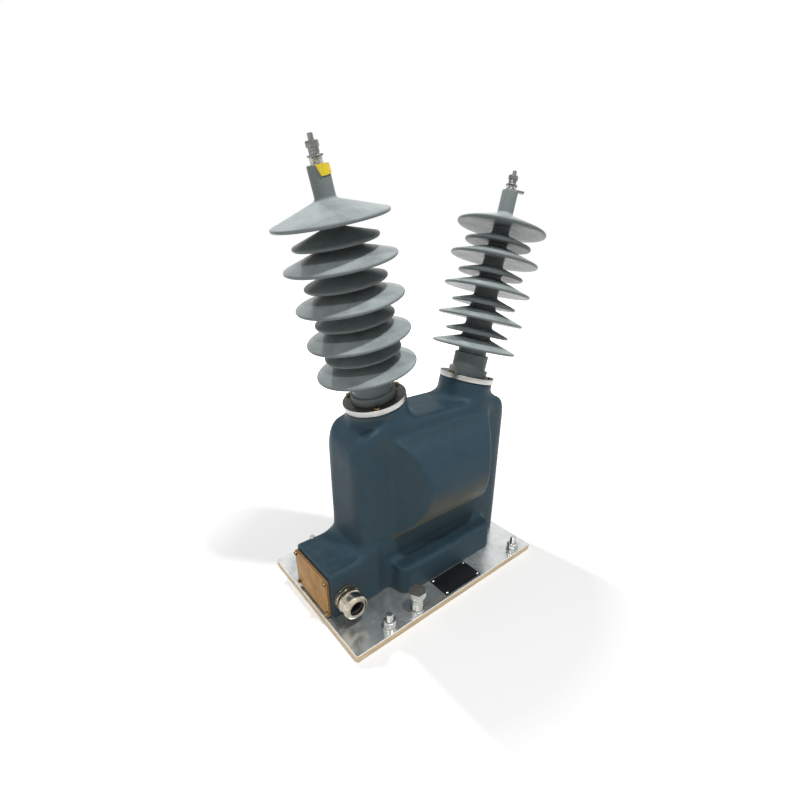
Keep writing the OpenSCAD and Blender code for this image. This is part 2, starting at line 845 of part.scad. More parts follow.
module flange_screws(side) {
    color("darkkhaki") at_seat(side) at_ring_screws(side) translate([0, 0, ring_t])
        pan_screw(ring_screw_r, ring_screw_l);
}

// Terminal hardware above a bushing's neck

// Station of the collar sleeve's foot: on the right it stands on the tab washer
function sleeve_foot(side) = side == LEFT ? neck_top : neck_top + tab_t;

module terminal_sleeve(side) {
    color("tan") at_seat(side) translate([0, 0, sleeve_foot(side)])
        ring(sleeve_r, terminal_r + thread_gap, washer_foot - sleeve_foot(side));
}

module tab_washer() {
    color("gray") at_seat(RIGHT) translate([0, 0, neck_top]) difference() {
        linear_extrude(tab_t) {
            circle(washer_r(terminal_r));
            rotate(tab_angle) translate([0, -tab_w / 2]) square([tab_reach, tab_w]);
        }
        translate([0, 0, -cut]) cylinder(r = terminal_r + thread_gap, h = tab_t + 2 * cut);
    }
}

module neck_marker() {
    color("gold") at_seat(LEFT) translate([0, 0, marker_top]) rotate(marker_angle) difference() {
        rotate_extrude(angle = marker_wrap) translate([marker_r, -marker_h]) square([marker_t, marker_h]);
        rotate(marker_wrap / 3) translate([0, -marker_r * sin(marker_wrap / 3), 0])
            rotate([marker_slant, 0, 0]) translate([0, -2 * marker_h, -2 * marker_h])
            cube([2 * marker_r, 2 * marker_h, 4 * marker_h]);
    }
}

module terminal_washer(side) {
    color("silver") at_seat(side) translate([0, 0, washer_foot])
        ring(terminal_washer_r, terminal_r + thread_gap, washer_t(terminal_r));
}

module terminal_spring_washer(side) {
    color("gray") at_seat(side) translate([0, 0, spring_foot])
        split_ring(coil_washer_r, terminal_r + thread_gap, coil_washer_l);
}

module terminal_nut(side) {
    color("dimgray") at_seat(side) translate([0, 0, terminal_nut_foot])
        rotate(side == LEFT ? left_nut_turn : right_nut_turn)
        nut(terminal_r, nut_flats(terminal_r), nut_t(terminal_r));
}

// Terminal box closure and secondary terminals

module cover_outline() {
    rounded_rect(cover_h, cover_w, cavity_r);
}

module cover_gasket() {
    color("black") at_box_end(box_end) difference() {
        linear_extrude(cover_gasket_t) cover_outline();
        translate([0, 0, -cut]) linear_extrude(cover_gasket_t + 2 * cut)
            rounded_rect(cavity_h, cavity_w, cavity_r);
        at_cover_screws() translate([0, 0, -cut])
            cylinder(r = cover_screw_r + thread_gap, h = cover_gasket_t + 2 * cut);
    }
}

module terminal_cover() {
    color("peru") at_box_end(box_end - cover_gasket_t) difference() {
        linear_extrude(cover_t) cover_outline();
        at_cover_screws() translate([0, 0, -cut])
            cylinder(r = cover_screw_r + thread_gap, h = cover_t + 2 * cut);
    }
}

module cover_screws() {
    color("goldenrod") at_box_end(box_end - cover_gasket_t - cover_t) at_cover_screws()
        cheese_screw(cover_screw_r, cover_screw_l, cover_head_h);
}

module secondary_studs() {
    color("goldenrod") translate([stud_inner, 0, cover_z]) rotate([0, -90, 0]) at_secondary_studs()
        stud(sec_stud_r, sec_stud_set + sec_stud_free);
}

module secondary_washers() {
    color("goldenrod") at_box_end(cavity_back) at_secondary_studs() washer(sec_stud_r);
}

module secondary_nuts() {
    color("goldenrod") at_box_end(cavity_back - washer_t(sec_stud_r)) at_secondary_studs()
        nut(sec_stud_r, nut_flats(sec_stud_r), nut_t(sec_stud_r));
}

// Cable gland, drawn pointing up from the box's outer wall

// Round barrel with grooves along its middle
module gland_barrel() {
    difference() {
        cylinder(r = gland_barrel_r, h = gland_barrel_l);
        for (i = [0 : 2 * gland_flutes - 1]) rotate(i * 180 / gland_flutes)
            translate([gland_barrel_r + gland_groove_r / 2, 0, gland_barrel_l / 4])
                cylinder(r = gland_groove_r, h = gland_barrel_l / 2);
    }
}

module gland_body() {
    color("silver") at_gland() difference() {
        union() {
            translate([0, 0, -gland_wall - gland_nut_t])
                cylinder(r = gland_thread_r, h = gland_wall + gland_nut_t);
            gland_barrel();
            cylinder(r = gland_thread_r, h = gland_seal_start);
        }
        translate([0, 0, -gland_wall - gland_nut_t - cut])
            cylinder(r = gland_bore_r, h = gland_wall + gland_nut_t + gland_seal_start + 2 * cut);
    }
}

module gland_lock_nut() {
    color("silver") at_gland() translate([0, 0, -gland_wall - gland_nut_t])
        nut(gland_thread_r, gland_hex, gland_nut_t);
}

module gland_seal() {
    color("black") at_gland() translate([0, 0, gland_seal_start])
        ring(gland_seal_r, cable_r, gland_seal_end - gland_seal_start);
}

// Cap nut with a round mouth and grip flutes
module gland_cap() {
    lip_start = gland_cap_l - gland_lip;
    color("silver") at_gland() translate([0, 0, gland_cap_start]) difference() {
        rotate_extrude() {
            square([gland_cap_r - gland_lip, gland_cap_l]);
            square([gland_cap_r, lip_start]);
            translate([gland_cap_r - gland_lip, lip_start]) circle(gland_lip);
        }
        translate([0, 0, -cut]) cylinder(r = gland_cap_bore_r, h = lip_start + cut);
        translate([0, 0, -cut]) cylinder(r = gland_mouth_r, h = gland_cap_l + 2 * cut);
        for (i = [0 : gland_flutes - 1]) rotate(i * 360 / gland_flutes)
            translate([gland_cap_r + gland_lip / 4, 0, -cut])
                cylinder(r = gland_lip / 2, h = lip_start / 2 + cut);
    }
}

// Hardware on the base plate

module base_studs() {
    color("silver") at_plate_studs() stud(stud_r, plate_t + stud_h);
}

module base_washers() {
    color("silver") at_plate_studs() translate([0, 0, plate_t]) washer(stud_r);
}

module base_spring_washers() {
    color("gray") at_plate_studs() translate([0, 0, plate_t + washer_t(stud_r)]) spring_washer(stud_r);
}

module base_nuts() {
    color("silver") at_plate_studs() translate([0, 0, plate_t + washer_t(stud_r) + spring_t(stud_r)])
        nut(stud_r, nut_flats(stud_r), nut_t(stud_r));
}

module bare_plate() {
    color("black") translate([0, 0, plate_t]) difference() {
        translate([label_x, label_y, 0]) linear_extrude(label_t) square([label_l, label_w], center = true);
        at_rivets() translate([0, 0, -cut]) cylinder(r = rivet_r + thread_gap, h = label_t + 2 * cut);
    }
}

module bare_plate_rivets() {
    color("silver") at_rivets() translate([0, 0, plate_t + label_t]) pan_screw(rivet_r, rivet_l);
}

module earth_stud() {
    color("silver") at_earth(0) cylinder(r = earth_r, h = earth_long_top + earth_clamp_h / 2);
}

module earth_washer() {
    color("silver") at_earth(plate_t) washer(earth_r);
}

module earth_long_nut() {
    color("silver") at_earth(earth_washer_top) nut(earth_r, earth_long_hex, earth_long_h);
}

// Closed clamp nut with a flat top and a tapered foot
module earth_clamp_nut() {
    corner = earth_clamp_hex / sqrt(3);
    color("silver") at_earth(earth_long_top) difference() {
        intersection() {
            cylinder(r = corner, h = earth_clamp_h, $fn = 6);
            rotate_extrude() polygon([
                [0, 0], [earth_foot_r, 0], [corner, earth_taper_h], [corner, earth_clamp_h], [0, earth_clamp_h]
            ]);
        }
        translate([0, 0, -cut])
            cylinder(r = earth_r + thread_gap, h = earth_clamp_h / 2 + cut + thread_gap);
    }
}

base_plate();
resin_body();
iron_core();
primary_winding();
secondary_winding();
secondary_leads();
bushing(LEFT);  // bushing_left
bushing(RIGHT);  // bushing_right
bushing_gasket(LEFT);  // bushing_gasket_left
bushing_gasket(RIGHT);  // bushing_gasket_right
flange_ring(LEFT);  // flange_ring_left
flange_ring(RIGHT);  // flange_ring_right
flange_screws(LEFT);  // flange_screws_left
flange_screws(RIGHT);  // flange_screws_right
conductor(LEFT);  // conductor_left
conductor(RIGHT);  // conductor_right
terminal_sleeve(LEFT);  // terminal_sleeve_left
terminal_sleeve(RIGHT);  // terminal_sleeve_right
tab_washer();  // tab_washer_right
neck_marker();  // neck_marker_left
terminal_washer(LEFT);  // terminal_washer_left
terminal_washer(RIGHT);  // terminal_washer_right
terminal_spring_washer(LEFT);  // terminal_spring_washer_left
terminal_spring_washer(RIGHT);  // terminal_spring_washer_right
terminal_nut(LEFT);  // terminal_nut_left
terminal_nut(RIGHT);  // terminal_nut_right
terminal_cover();
cover_gasket();
cover_screws();
secondary_studs();
secondary_washers();
secondary_nuts();
gland_body();
gland_lock_nut();
gland_seal();
gland_cap();
base_studs();
base_washers();
base_spring_washers();
base_nuts();
bare_plate();
bare_plate_rivets();
earth_stud();
earth_washer();
earth_long_nut();
earth_clamp_nut();
body_inserts();
body_screws();
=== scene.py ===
"""Looks of an outdoor instrument transformer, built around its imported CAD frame."""

import math
from types import SimpleNamespace as Form

import bmesh
import bpy
import numpy as np
import openvdb
from mathutils import Matrix, Vector


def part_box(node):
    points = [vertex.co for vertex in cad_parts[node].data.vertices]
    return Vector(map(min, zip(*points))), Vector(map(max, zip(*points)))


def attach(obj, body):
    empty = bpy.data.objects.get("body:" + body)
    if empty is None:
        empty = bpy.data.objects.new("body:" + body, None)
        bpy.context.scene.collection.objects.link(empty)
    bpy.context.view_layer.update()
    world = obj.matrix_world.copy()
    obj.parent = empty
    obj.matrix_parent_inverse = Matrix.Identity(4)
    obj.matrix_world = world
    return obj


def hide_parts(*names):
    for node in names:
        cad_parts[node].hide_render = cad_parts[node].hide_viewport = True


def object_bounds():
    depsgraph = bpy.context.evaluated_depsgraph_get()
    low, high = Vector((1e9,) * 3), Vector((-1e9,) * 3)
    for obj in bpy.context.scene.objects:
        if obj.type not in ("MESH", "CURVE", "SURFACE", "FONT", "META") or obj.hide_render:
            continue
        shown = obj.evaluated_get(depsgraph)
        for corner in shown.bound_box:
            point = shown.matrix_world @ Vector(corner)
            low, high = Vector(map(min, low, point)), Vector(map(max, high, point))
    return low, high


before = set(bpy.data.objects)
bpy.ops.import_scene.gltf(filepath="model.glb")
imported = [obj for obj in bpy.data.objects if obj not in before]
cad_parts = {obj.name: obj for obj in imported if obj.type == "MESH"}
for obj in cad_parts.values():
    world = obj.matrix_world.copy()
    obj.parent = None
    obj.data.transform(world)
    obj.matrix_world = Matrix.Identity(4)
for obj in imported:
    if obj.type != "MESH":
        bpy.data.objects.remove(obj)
CAD_BOX = [list(corner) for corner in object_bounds()]

bl_info = {
    "name": "Outdoor instrument transformer",
    "version": (1, 0, 0),
    "blender": (4, 5, 0),
    "location": "3D View > Sidebar > Transformer",
    "description": "Dresses the packed transformer in its castings, sheds, hardware and finishes",
    "category": "Object",
}

MM = 0.001
LEFT, RIGHT = -1, 1
SIDES = {"left": LEFT, "right": RIGHT}
PHOTO_PIXELS = 800

# Angles in degrees above which an edge shows sharp
SHARP, EARTH_SHARP, THREAD_SHARP, ROUND_SHARP, CAST_SHARP = 35.0, 25.0, 40.0, 50.0, 60.0


# Sizes and colours that a user would change


def length(name, description, default):
    return bpy.props.FloatProperty(
        name=name, description=description, default=default, unit="LENGTH", precision=5)


def angle(name, description, degrees):
    return bpy.props.FloatProperty(
        name=name, description=description, default=math.radians(degrees), unit="ROTATION")


def number_of(name, description, default, least, most):
    return bpy.props.IntProperty(name=name, description=description, default=default, min=least, max=most)


def power(name, watts):
    return bpy.props.FloatProperty(
        name=name, description="Power of the " + name.lower(), default=watts, unit="POWER")


def colour(name, description, default):
    return bpy.props.FloatVectorProperty(
        name=name, description=description, default=default, subtype="COLOR", size=3, min=0, max=1)


class CastingSettings(bpy.types.PropertyGroup):
    """Sizes of the resin casting's soft edges, in the CAD model's frame."""

    grid: length("Grid step", "Distance between samples of the casting's surface", 0.0021)
    turret_blend: length("Turret blend", "Reach of the soft joint under each turret", 0.014)
    step_blend: length("Step blend", "Reach of the soft joint above the low step", 0.014)
    box_blend: length("Box blend", "Reach of the soft joint between the box and the slab", 0.026)
    bulge_blend: length("Bulge blend", "Reach of the soft joint round the coil bulge", 0.006)
    crease: length("Crease", "Reach of the rounding along the bulge's sloping ends", 0.0035)
    resin: colour("Resin", "Main colour of the cast resin", (0.0282, 0.0555, 0.0750))
    resin_dust: colour("Dust", "Colour of the dust on the casting's top", (0.16, 0.17, 0.17))
    # Painted reflection: the brownish colour the resin takes where it leans down towards the warm floor
    resin_floor_reflection: colour("Warm resin", "Colour where the resin looks brownish", (0.125, 0.110, 0.064))


class BushingSettings(bpy.types.PropertyGroup):
    """Sizes of one bushing, measured along its axis from its seat."""

    seat_x: length("Seat offset", "Distance of each seat from the body's middle", 0.101)
    seat_z: length("Seat height", "Height of each seat's middle", 0.3424)
    body_x: length("Body offset", "Place of the body's middle along the plate", 0.032)
    lean: angle("Lean", "Lean of each bushing away from the upright", 13.6)
    sheds: number_of("Sheds", "Number of sheds", 9, 3, 15)
    large_r: length("Large shed", "Radius of a large shed", 0.0745)
    small_r: length("Small shed", "Radius of a small shed", 0.056)
    pitch: length("Pitch", "Distance from one shed to the next", 0.02425)
    first: length("First shed", "Station of the lowest shed's rim", 0.058)
    rim_r: length("Rim", "Radius of a shed's rim", 0.0024)
    fall: angle("Fall", "Fall of a shed's upper side", 17.5)
    under: angle("Under side", "Fall of a shed's under side", 3)
    fillet_r: length("Fillet", "Radius of the fillet between a shed and the shank", 0.005)
    shank_r: length("Shank foot", "Radius of the shank under the lowest shed", 0.0255)
    shank_top_r: length("Shank top", "Radius of the shank under the uppermost shed", 0.0143)
    neck_r: length("Neck", "Radius of the neck above the sheds", 0.013)
    neck_top: length("Neck top", "Station of the neck's top", 0.308)
    segments: number_of("Segments", "Steps round the axis", 144, 24, 256)
    # The sheds' colour is kept dark for their undersides and neck, as painted shade
    shed: colour("Shed", "Colour of the sheds", (0.190, 0.214, 0.214))


class HardwareSettings(bpy.types.PropertyGroup):
    """Sizes of the studs, screws and terminals."""

    stud_x: length("Stud middle", "Place of the stud pattern's middle along the plate", 0.0155)
    stud_span_x: length("Stud span along", "Distance between plate studs along the plate", 0.309)
    stud_span_y: length("Stud span across", "Distance between plate studs across the plate", 0.252)
    stud_r: length("Plate stud", "Radius of a plate stud", 0.006)
    stud_pitch: length("Plate thread", "Thread pitch of a plate stud", 0.00175)
    terminal_r: length("Terminal stud", "Radius of a terminal stud", 0.004)
    tip_r: length("Terminal tip", "Radius of a terminal stud's tip", 0.0032)
    terminal_pitch: length("Terminal thread", "Thread pitch of a terminal stud", 0.00125)
    terminal_l: length("Terminal length", "Length of a terminal stud above the neck", 0.029)
    sleeve_l: length("Collar", "Length of a collar sleeve", 0.007)
    washer_t: length("Washer", "Thickness of a terminal washer", 0.00204)
    coil_l: length("Spring washer", "Height of a coiled spring washer", 0.0064)
    coil_r: length("Spring radius", "Radius of a coiled spring washer", 0.0062)
    nut_t: length("Terminal nut", "Thickness of a terminal nut", 0.0068)
    ring_r: length("Flange ring", "Outside radius of a flange ring", 0.050)
    ring_t: length("Ring thickness", "Thickness of a flange ring", 0.009)
    ring_circle: length("Screw circle", "Radius of the circle of flange screws", 0.0435)
    ring_screws: number_of("Flange screws", "Screws in a ring", 3, 2, 8)
    edge: length("Edge", "Rounding of metal edges", 0.0004)


class FinishSettings(bpy.types.PropertyGroup):
    """Colours of the metal, rubber and painted finishes."""

    plate: colour("Plate", "Light colour of the cloudy plate", (0.74, 0.76, 0.755))
    plate_dark: colour("Plate clouds", "Dark colour of the cloudy plate", (0.42, 0.45, 0.45))
    # Painted highlight: the near-white colour of the plate's broken edge
    plate_line: colour("Plate line", "Colour of the plate's broken edge", (0.90, 0.89, 0.86))
    # Painted reflection: the cut edge's brownish colour stands for the warm floor it reflects
    plate_edge: colour("Plate edge", "Colour of the cut edge", (0.73, 0.565, 0.35))
    zinc: colour("Zinc", "Colour of plated hardware", (0.20, 0.20, 0.193))
    nickel: colour("Nickel", "Colour of nickel plate", (0.58, 0.52, 0.42))
    brass: colour("Brass", "Colour of brass", (0.19, 0.14, 0.063))
    ring: colour("Ring", "Colour of the flange rings", (0.42, 0.415, 0.40))
    ring_face: colour("Ring face", "Colour of the flange rings' upper face", (0.14, 0.14, 0.125))
    paper: colour("Paper", "Colour of the marker's edge", (0.80, 0.79, 0.70))
    cover: colour("Cover", "Main colour of the box cover", (0.40, 0.20, 0.038))
    # The blotch colour also paints the cover's side faces, as painted shade along its edge
    cover_dark: colour("Cover blotches", "Colour of the cover's blotches", (0.20, 0.11, 0.045))
    marker: colour("Marker", "Colour of the neck's marker", (0.80, 0.60, 0.03))
    sleeve: colour("Sleeve", "Colour of the collar sleeves", (0.80, 0.78, 0.70))
    black: colour("Black", "Colour of the bare plate", (0.006, 0.007, 0.008))
    copper: colour("Copper", "Colour of the windings", (0.42, 0.16, 0.06))


class StageSettings(bpy.types.PropertyGroup):
    """Floor and light."""

    key: power("Key light", 35)
    second: power("Second light", 32)
    third: power("Third light", 11)
    fill: power("Fill light", 1.5)
    sky: bpy.props.FloatProperty(name="Sky", description="Strength of the light from all round", default=0.25)
    floor: colour("Floor", "Colour of the floor", (0.80, 0.80, 0.795))


# Nodes, for finishes and Geometry Nodes alike


def set_inputs(node, inputs):
    """Gives a node's inputs their values, or links them where the value is a socket."""
    for key, value in inputs.items():
        if isinstance(value, bpy.types.NodeSocket):
            node.id_data.links.new(value, node.inputs[key])
        else:
            node.inputs[key].default_value = value


def add_node(tree, kind, inputs, **settings):
    """New node in a tree, with its settings and inputs."""
    node = tree.nodes.new(kind)
    for key, value in settings.items():
        setattr(node, key, value)
    set_inputs(node, inputs)
    return node


# Finishes


def new_finish(name, metallic=0.0, specular=0.5):
    """A material with its plain shader and Object coordinates, ready for its patterns."""
    material = bpy.data.materials.new(name)
    material.use_nodes = True
    nodes = material.node_tree.nodes
    set_inputs(nodes["Principled BSDF"], {"Metallic": metallic, "Specular IOR Level": specular})
    nodes.new("ShaderNodeTexCoord").name = "Place"
    return material


def place_of(material):
    return material.node_tree.nodes["Place"].outputs["Object"]


def noise(material, scale, detail=4.0, rough=0.55, stretch=None, distortion=0.0):
    """Noise on Object coordinates, stretched along an axis where asked."""
    tree, source = material.node_tree, place_of(material)
    if stretch:
        source = add_node(tree, "ShaderNodeMapping", {"Vector": source, "Scale": stretch}).outputs[0]
    return add_node(tree, "ShaderNodeTexNoise", {
        "Vector": source, "Scale": scale, "Detail": detail, "Roughness": rough,
        "Distortion": distortion}).outputs["Fac"]


def spread(value, low, high, to_low=0.0, to_high=1.0):
    """Maps a value's range onto another, held at both ends."""
    return add_node(value.id_data, "ShaderNodeMapRange", {
        "Value": value, "From Min": low, "From Max": high, "To Min": to_low, "To Max": to_high}).outputs[0]


def mix(share, a, b):
    """Mixes two colours, each a colour or a socket, by a share."""
    a, b = (value if isinstance(value, bpy.types.NodeSocket) else (*value, 1) for value in (a, b))
    return add_node(share.id_data, "ShaderNodeMix", {"Factor": share, 6: a, 7: b},
                    data_type="RGBA").outputs[2]


def combine(operation, a, b):
    """One value from two, by an operation."""
    return add_node(a.id_data, "ShaderNodeMath", {0: a, 1: b}, operation=operation).outputs[0]


def wire(material, base, roughness, *bumps):
    """Joins colour, roughness and a chain of (height, depth in metres) bumps to the shader."""
    normal = {}
    for height, depth in bumps:
        bump = add_node(material.node_tree, "ShaderNodeBump", {
            "Height": height, "Distance": depth, "Strength": 1.0, **normal})
        normal = {"Normal": bump.outputs[0]}
    shader = material.node_tree.nodes["Principled BSDF"]
    set_inputs(shader, {"Base Color": base, "Roughness": roughness, **normal})
    return material


def up_part(vector):
    return add_node(vector.id_data, "ShaderNodeSeparateXYZ", {0: vector}).outputs["Z"]


def facing_up(material):
    """Share by which the surface faces upwards."""
    return up_part(add_node(material.node_tree, "ShaderNodeNewGeometry", {}).outputs["Normal"])


def seen_share(tree):
    """One for rays that show the background: from the camera, from gloss and through clear pieces."""
    path = add_node(tree, "ShaderNodeLightPath", {}).outputs
    seen = combine("MAXIMUM", path["Is Camera Ray"], path["Is Glossy Ray"])
    return combine("MAXIMUM", seen, path["Is Transmission Ray"])


def shade(value, factor):
    return tuple(min(1.0, part * factor) for part in value)


def resin_finish(settings):
    """Satin cast resin, bluish grey; brownish where it leans down, as a painted reflection of the warm floor,
    and darker where it faces up, as painted shade.
    """
    material = new_finish("cast_resin", specular=0.12)
    up, height = facing_up(material), up_part(place_of(material))
    cloud = spread(noise(material, 9.0, detail=3.0), 0.30, 0.55, 0.5, 1.0)
    # Painted reflection of the warm floor, strongest where the face leans down
    floor_reflection = combine("MULTIPLY", spread(up, 0.04, -0.42), cloud)
    base = mix(floor_reflection, settings.resin, settings.resin_floor_reflection)
    dust = combine("MULTIPLY", spread(up, 0.6, 0.95, 0.0, 0.03), spread(height, 0.15, 0.25))
    base = mix(dust, base, settings.resin_dust)
    # Painted shade: faces that look up are darkened so that the lamps above don't show them brighter than the
    # sides
    base = mix(spread(up, 0.7, 1.0), base, shade(settings.resin, 0.62))
    fine = spread(noise(material, 60.0, detail=6.0), 0.35, 0.75, 0.0, 0.30)
    base = mix(fine, base, shade(settings.resin, 1.4))
    rough = spread(noise(material, 22.0), 0.3, 0.7, 0.40, 0.54)
    return wire(material, base, rough, (noise(material, 210.0, detail=2.0), 0.00010),
                (noise(material, 34.0, detail=2.0), 0.0003))


def shed_finish(name, base, dust):
    """Smooth moulded rubber, lighter where it faces up, as dust and painted light, and darker on its
    undersides and neck, as painted shade.
    """
    material = new_finish(name, specular=0.07)
    cloud = noise(material, 26.0, detail=5.0)
    # Dust and painted light: what faces up takes the lighter colour, while undersides and the neck keep the
    # darker one as painted shade
    dust_and_lit_top = combine("MULTIPLY", spread(facing_up(material), 0.2, 0.95), spread(cloud, 0.35, 0.65, 0.35, 1.0))
    marks = spread(noise(material, 90.0, detail=3.0), 0.4, 0.7, 0.0, 0.10)
    tone = mix(marks, mix(dust_and_lit_top, base, dust), shade(base, 0.7))
    rough = spread(cloud, 0.3, 0.7, 0.24, 0.34)
    return wire(material, tone, rough, (noise(material, 420.0, detail=3.0), 0.00003))


def metal_finish(name, base, roughness, scale, darker=0.72, bump=0.00004, stretch=None):
    """Plated metal with faint tarnish and handling marks."""
    material = new_finish(name, metallic=1.0)
    cloud = noise(material, scale, detail=5.0, stretch=stretch)
    tone = mix(spread(cloud, 0.38, 0.68), base, shade(base, darker))
    fine = noise(material, scale * 9.0)
    return wire(material, tone, spread(fine, 0.3, 0.7, *roughness), (fine, bump))


def plate_finish(settings):
    """Galvanised sheet with soft clouds, spangle and fine rolling marks."""
    material = new_finish("galvanised_plate", metallic=0.8)
    cloud = noise(material, 13.0, detail=6.0, rough=0.62, distortion=0.6)
    tone = mix(spread(cloud, 0.36, 0.64), settings.plate_dark, settings.plate)
    cells = add_node(material.node_tree, "ShaderNodeTexVoronoi",
                     {"Vector": place_of(material), "Scale": 95.0})
    spangle = spread(cells.outputs["Distance"], 0.0, 0.8, 0.0, 0.22)
    tone = mix(spangle, tone, shade(settings.plate, 1.25))
    marks = noise(material, 30.0, detail=3.0, stretch=(1.0, 26.0, 1.0))
    rough = combine("ADD", spread(cloud, 0.3, 0.7, 0.15, 0.30), spread(marks, 0.35, 0.7, 0.0, 0.06))
    return wire(material, tone, rough, (marks, 0.00001), (noise(material, 16.0, detail=2.0), 0.0001))


def edge_finish(settings):
    """Cut edge of the plate with saw marks, painted brownish as a reflection of the warm floor."""
    material = new_finish("plate_edge", metallic=0.55)
    streak = noise(material, 24.0, detail=5.0, stretch=(1.0, 1.0, 30.0))
    tone = mix(spread(streak, 0.34, 0.70), settings.plate_edge, shade(settings.plate_edge, 0.62))
    return wire(material, tone, spread(streak, 0.3, 0.7, 0.38, 0.55), (streak, 0.00012))


def cover_finish(settings):
    """Tan sheet with dark blotches and specks."""
    material = new_finish("passivated_cover", metallic=0.2, specular=0.2)
    cloud = noise(material, 30.0, detail=7.0, rough=0.65, distortion=0.4)
    tone = mix(spread(cloud, 0.40, 0.66), settings.cover, shade(settings.cover, 0.68))
    blot = spread(noise(material, 62.0, detail=3.0), 0.60, 0.72, 0.0, 0.8)
    tone = mix(blot, tone, settings.cover_dark)
    speck = noise(material, 320.0, detail=3.0)
    tone = mix(spread(speck, 0.62, 0.74, 0.0, 0.6), tone, shade(settings.cover_dark, 0.8))
    return wire(material, tone, spread(cloud, 0.3, 0.7, 0.36, 0.54), (cloud, 0.0003), (speck, 0.00005))


def plain_finish(name, base, roughness=(0.4, 0.55), scale=60.0, other=0.75, specular=0.5):
    """Moulded, painted or rubber surface with light mottling."""
    material = new_finish(name, specular=specular)
    cloud = noise(material, scale)
    tone = mix(spread(cloud, 0.35, 0.70), base, shade(base, other))
    fine = noise(material, scale * 6.0, detail=3.0)
    return wire(material, tone, spread(cloud, 0.3, 0.7, *roughness), (fine, 0.00005))


def clear_finish(name, base):
    """Milky plastic that lets the stud inside show through."""
    material = plain_finish(name, base, (0.16, 0.28), 180.0, other=0.85)
    shader = material.node_tree.nodes["Principled BSDF"]
    set_inputs(shader, {"Transmission Weight": 0.62, "IOR": 1.3})
    return material


FINISHES = {}


def make_finishes(scene):
    """Makes every finish once, under the name of what it covers."""
    casting, bushing, look = scene.transformer_casting, scene.transformer_bushing, scene.transformer_finish
    FINISHES.update({
        "resin": resin_finish(casting),
        # The lighter colour, 1.85 times the sheds' own, is dust and painted light on what faces up
        "shed": shed_finish("grey_sheds", bushing.shed, shade(bushing.shed, 1.85)),
        "plate": plate_finish(look),
        "plate_edge": edge_finish(look),
        # Painted highlight along the plate's broken edge
        "plate_line": plain_finish("plate_line", look.plate_line, (0.3, 0.4), 90.0, other=0.9),
        "zinc": metal_finish("zinc_plate", look.zinc, (0.20, 0.34), 70.0, bump=0.000006),
        "bright_zinc": metal_finish("bright_zinc", shade(look.zinc, 2.9), (0.20, 0.34), 70.0, bump=0.000006),
        "dull_zinc": metal_finish("dull_zinc", shade(look.zinc, 2.9), (0.30, 0.38), 70.0, bump=0.000006),
        "nickel": metal_finish("nickel_plate", look.nickel, (0.10, 0.22), 90.0, darker=0.6),
        "brass": metal_finish("plain_brass", look.brass, (0.24, 0.40), 80.0),
        "ring": metal_finish("turned_ring", look.ring, (0.24, 0.38), 60.0, darker=0.85),
        "ring_face": metal_finish("ring_face", look.ring_face, (0.42, 0.58), 60.0, darker=0.7),
        "paper": plain_finish("marker_edge", look.paper, (0.5, 0.6), 200.0, other=0.9),
        "cover": cover_finish(look),
        "cover_rim": plain_finish("cover_rim", look.cover_dark, (0.4, 0.55), 90.0, specular=0.2),
        "rubber": plain_finish("black_rubber", (0.012, 0.012, 0.013), (0.55, 0.75)),
        "marker": plain_finish("yellow_marker", look.marker, (0.35, 0.5), 300.0, other=0.86),
        "sleeve": clear_finish("clear_sleeve", look.sleeve),
        "black": plain_finish("black_plate", look.black, (0.5, 0.62), 50.0, other=1.4, specular=0.12),
        "core": metal_finish("core_steel", (0.16, 0.16, 0.17), (0.4, 0.55), 30.0, stretch=(1, 60, 1)),
        "copper": metal_finish("wound_copper", look.copper, (0.3, 0.45), 40.0, stretch=(60, 1, 1)),
        "lead": plain_finish("lead_sleeve", (0.30, 0.045, 0.02), (0.4, 0.55)),
    })


# Mesh helpers


def smooth(mesh, sharp_over):
    """Smooth shading but for edges sharper than an angle in degrees."""
    mesh.polygons.foreach_set("use_smooth", [True] * len(mesh.polygons))
    mesh.set_sharp_from_angle(angle=math.radians(sharp_over))


def link_new(name, data):
    """New object in the scene."""
    thing = bpy.data.objects.new(name, data)
    bpy.context.scene.collection.objects.link(thing)
    return thing


def new_piece(name, mesh, finishes, sharp_over=SHARP):
    """Links a mesh at the origin under its finishes."""
    piece = link_new(name, mesh)
    mesh.materials.clear()
    for finish in finishes:
        mesh.materials.append(FINISHES[finish])
    smooth(mesh, sharp_over)
    return piece


def paint(piece, rule):
    """Gives each face the finish whose number a rule says."""
    for face in piece.data.polygons:
        face.material_index = int(rule(face))


def stands_for(piece, slot, *nodes):
    """The piece rides on the one body and stands for CAD nodes, which it hides; the slot is not used."""
    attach(piece, "root")
    if nodes:
        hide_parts(*nodes)
    return piece


def bmesh_to_mesh(bm, name):
    mesh = bpy.data.meshes.new(name)
    bm.to_mesh(mesh)
    bm.free()
    return mesh


def set_down(bm, name, place, finishes, sharp_over=SHARP):
    """Piece from a bmesh, moved to its place."""
    mesh = bmesh_to_mesh(bm, name)
    mesh.transform(place)
    return new_piece(name, mesh, finishes, sharp_over)


def from_arrays(name, points, faces):
    mesh = bpy.data.meshes.new(name)
    mesh.from_pydata([tuple(p) for p in points], [], [tuple(f) for f in faces])
    mesh.validate()
    return mesh


def arc(centre, radius, start, end, steps):
    """Points of an arc, angles in degrees."""
    return [(centre[0] + radius * math.cos(a), centre[1] + radius * math.sin(a))
            for a in np.radians(np.linspace(start, end, steps + 1))]


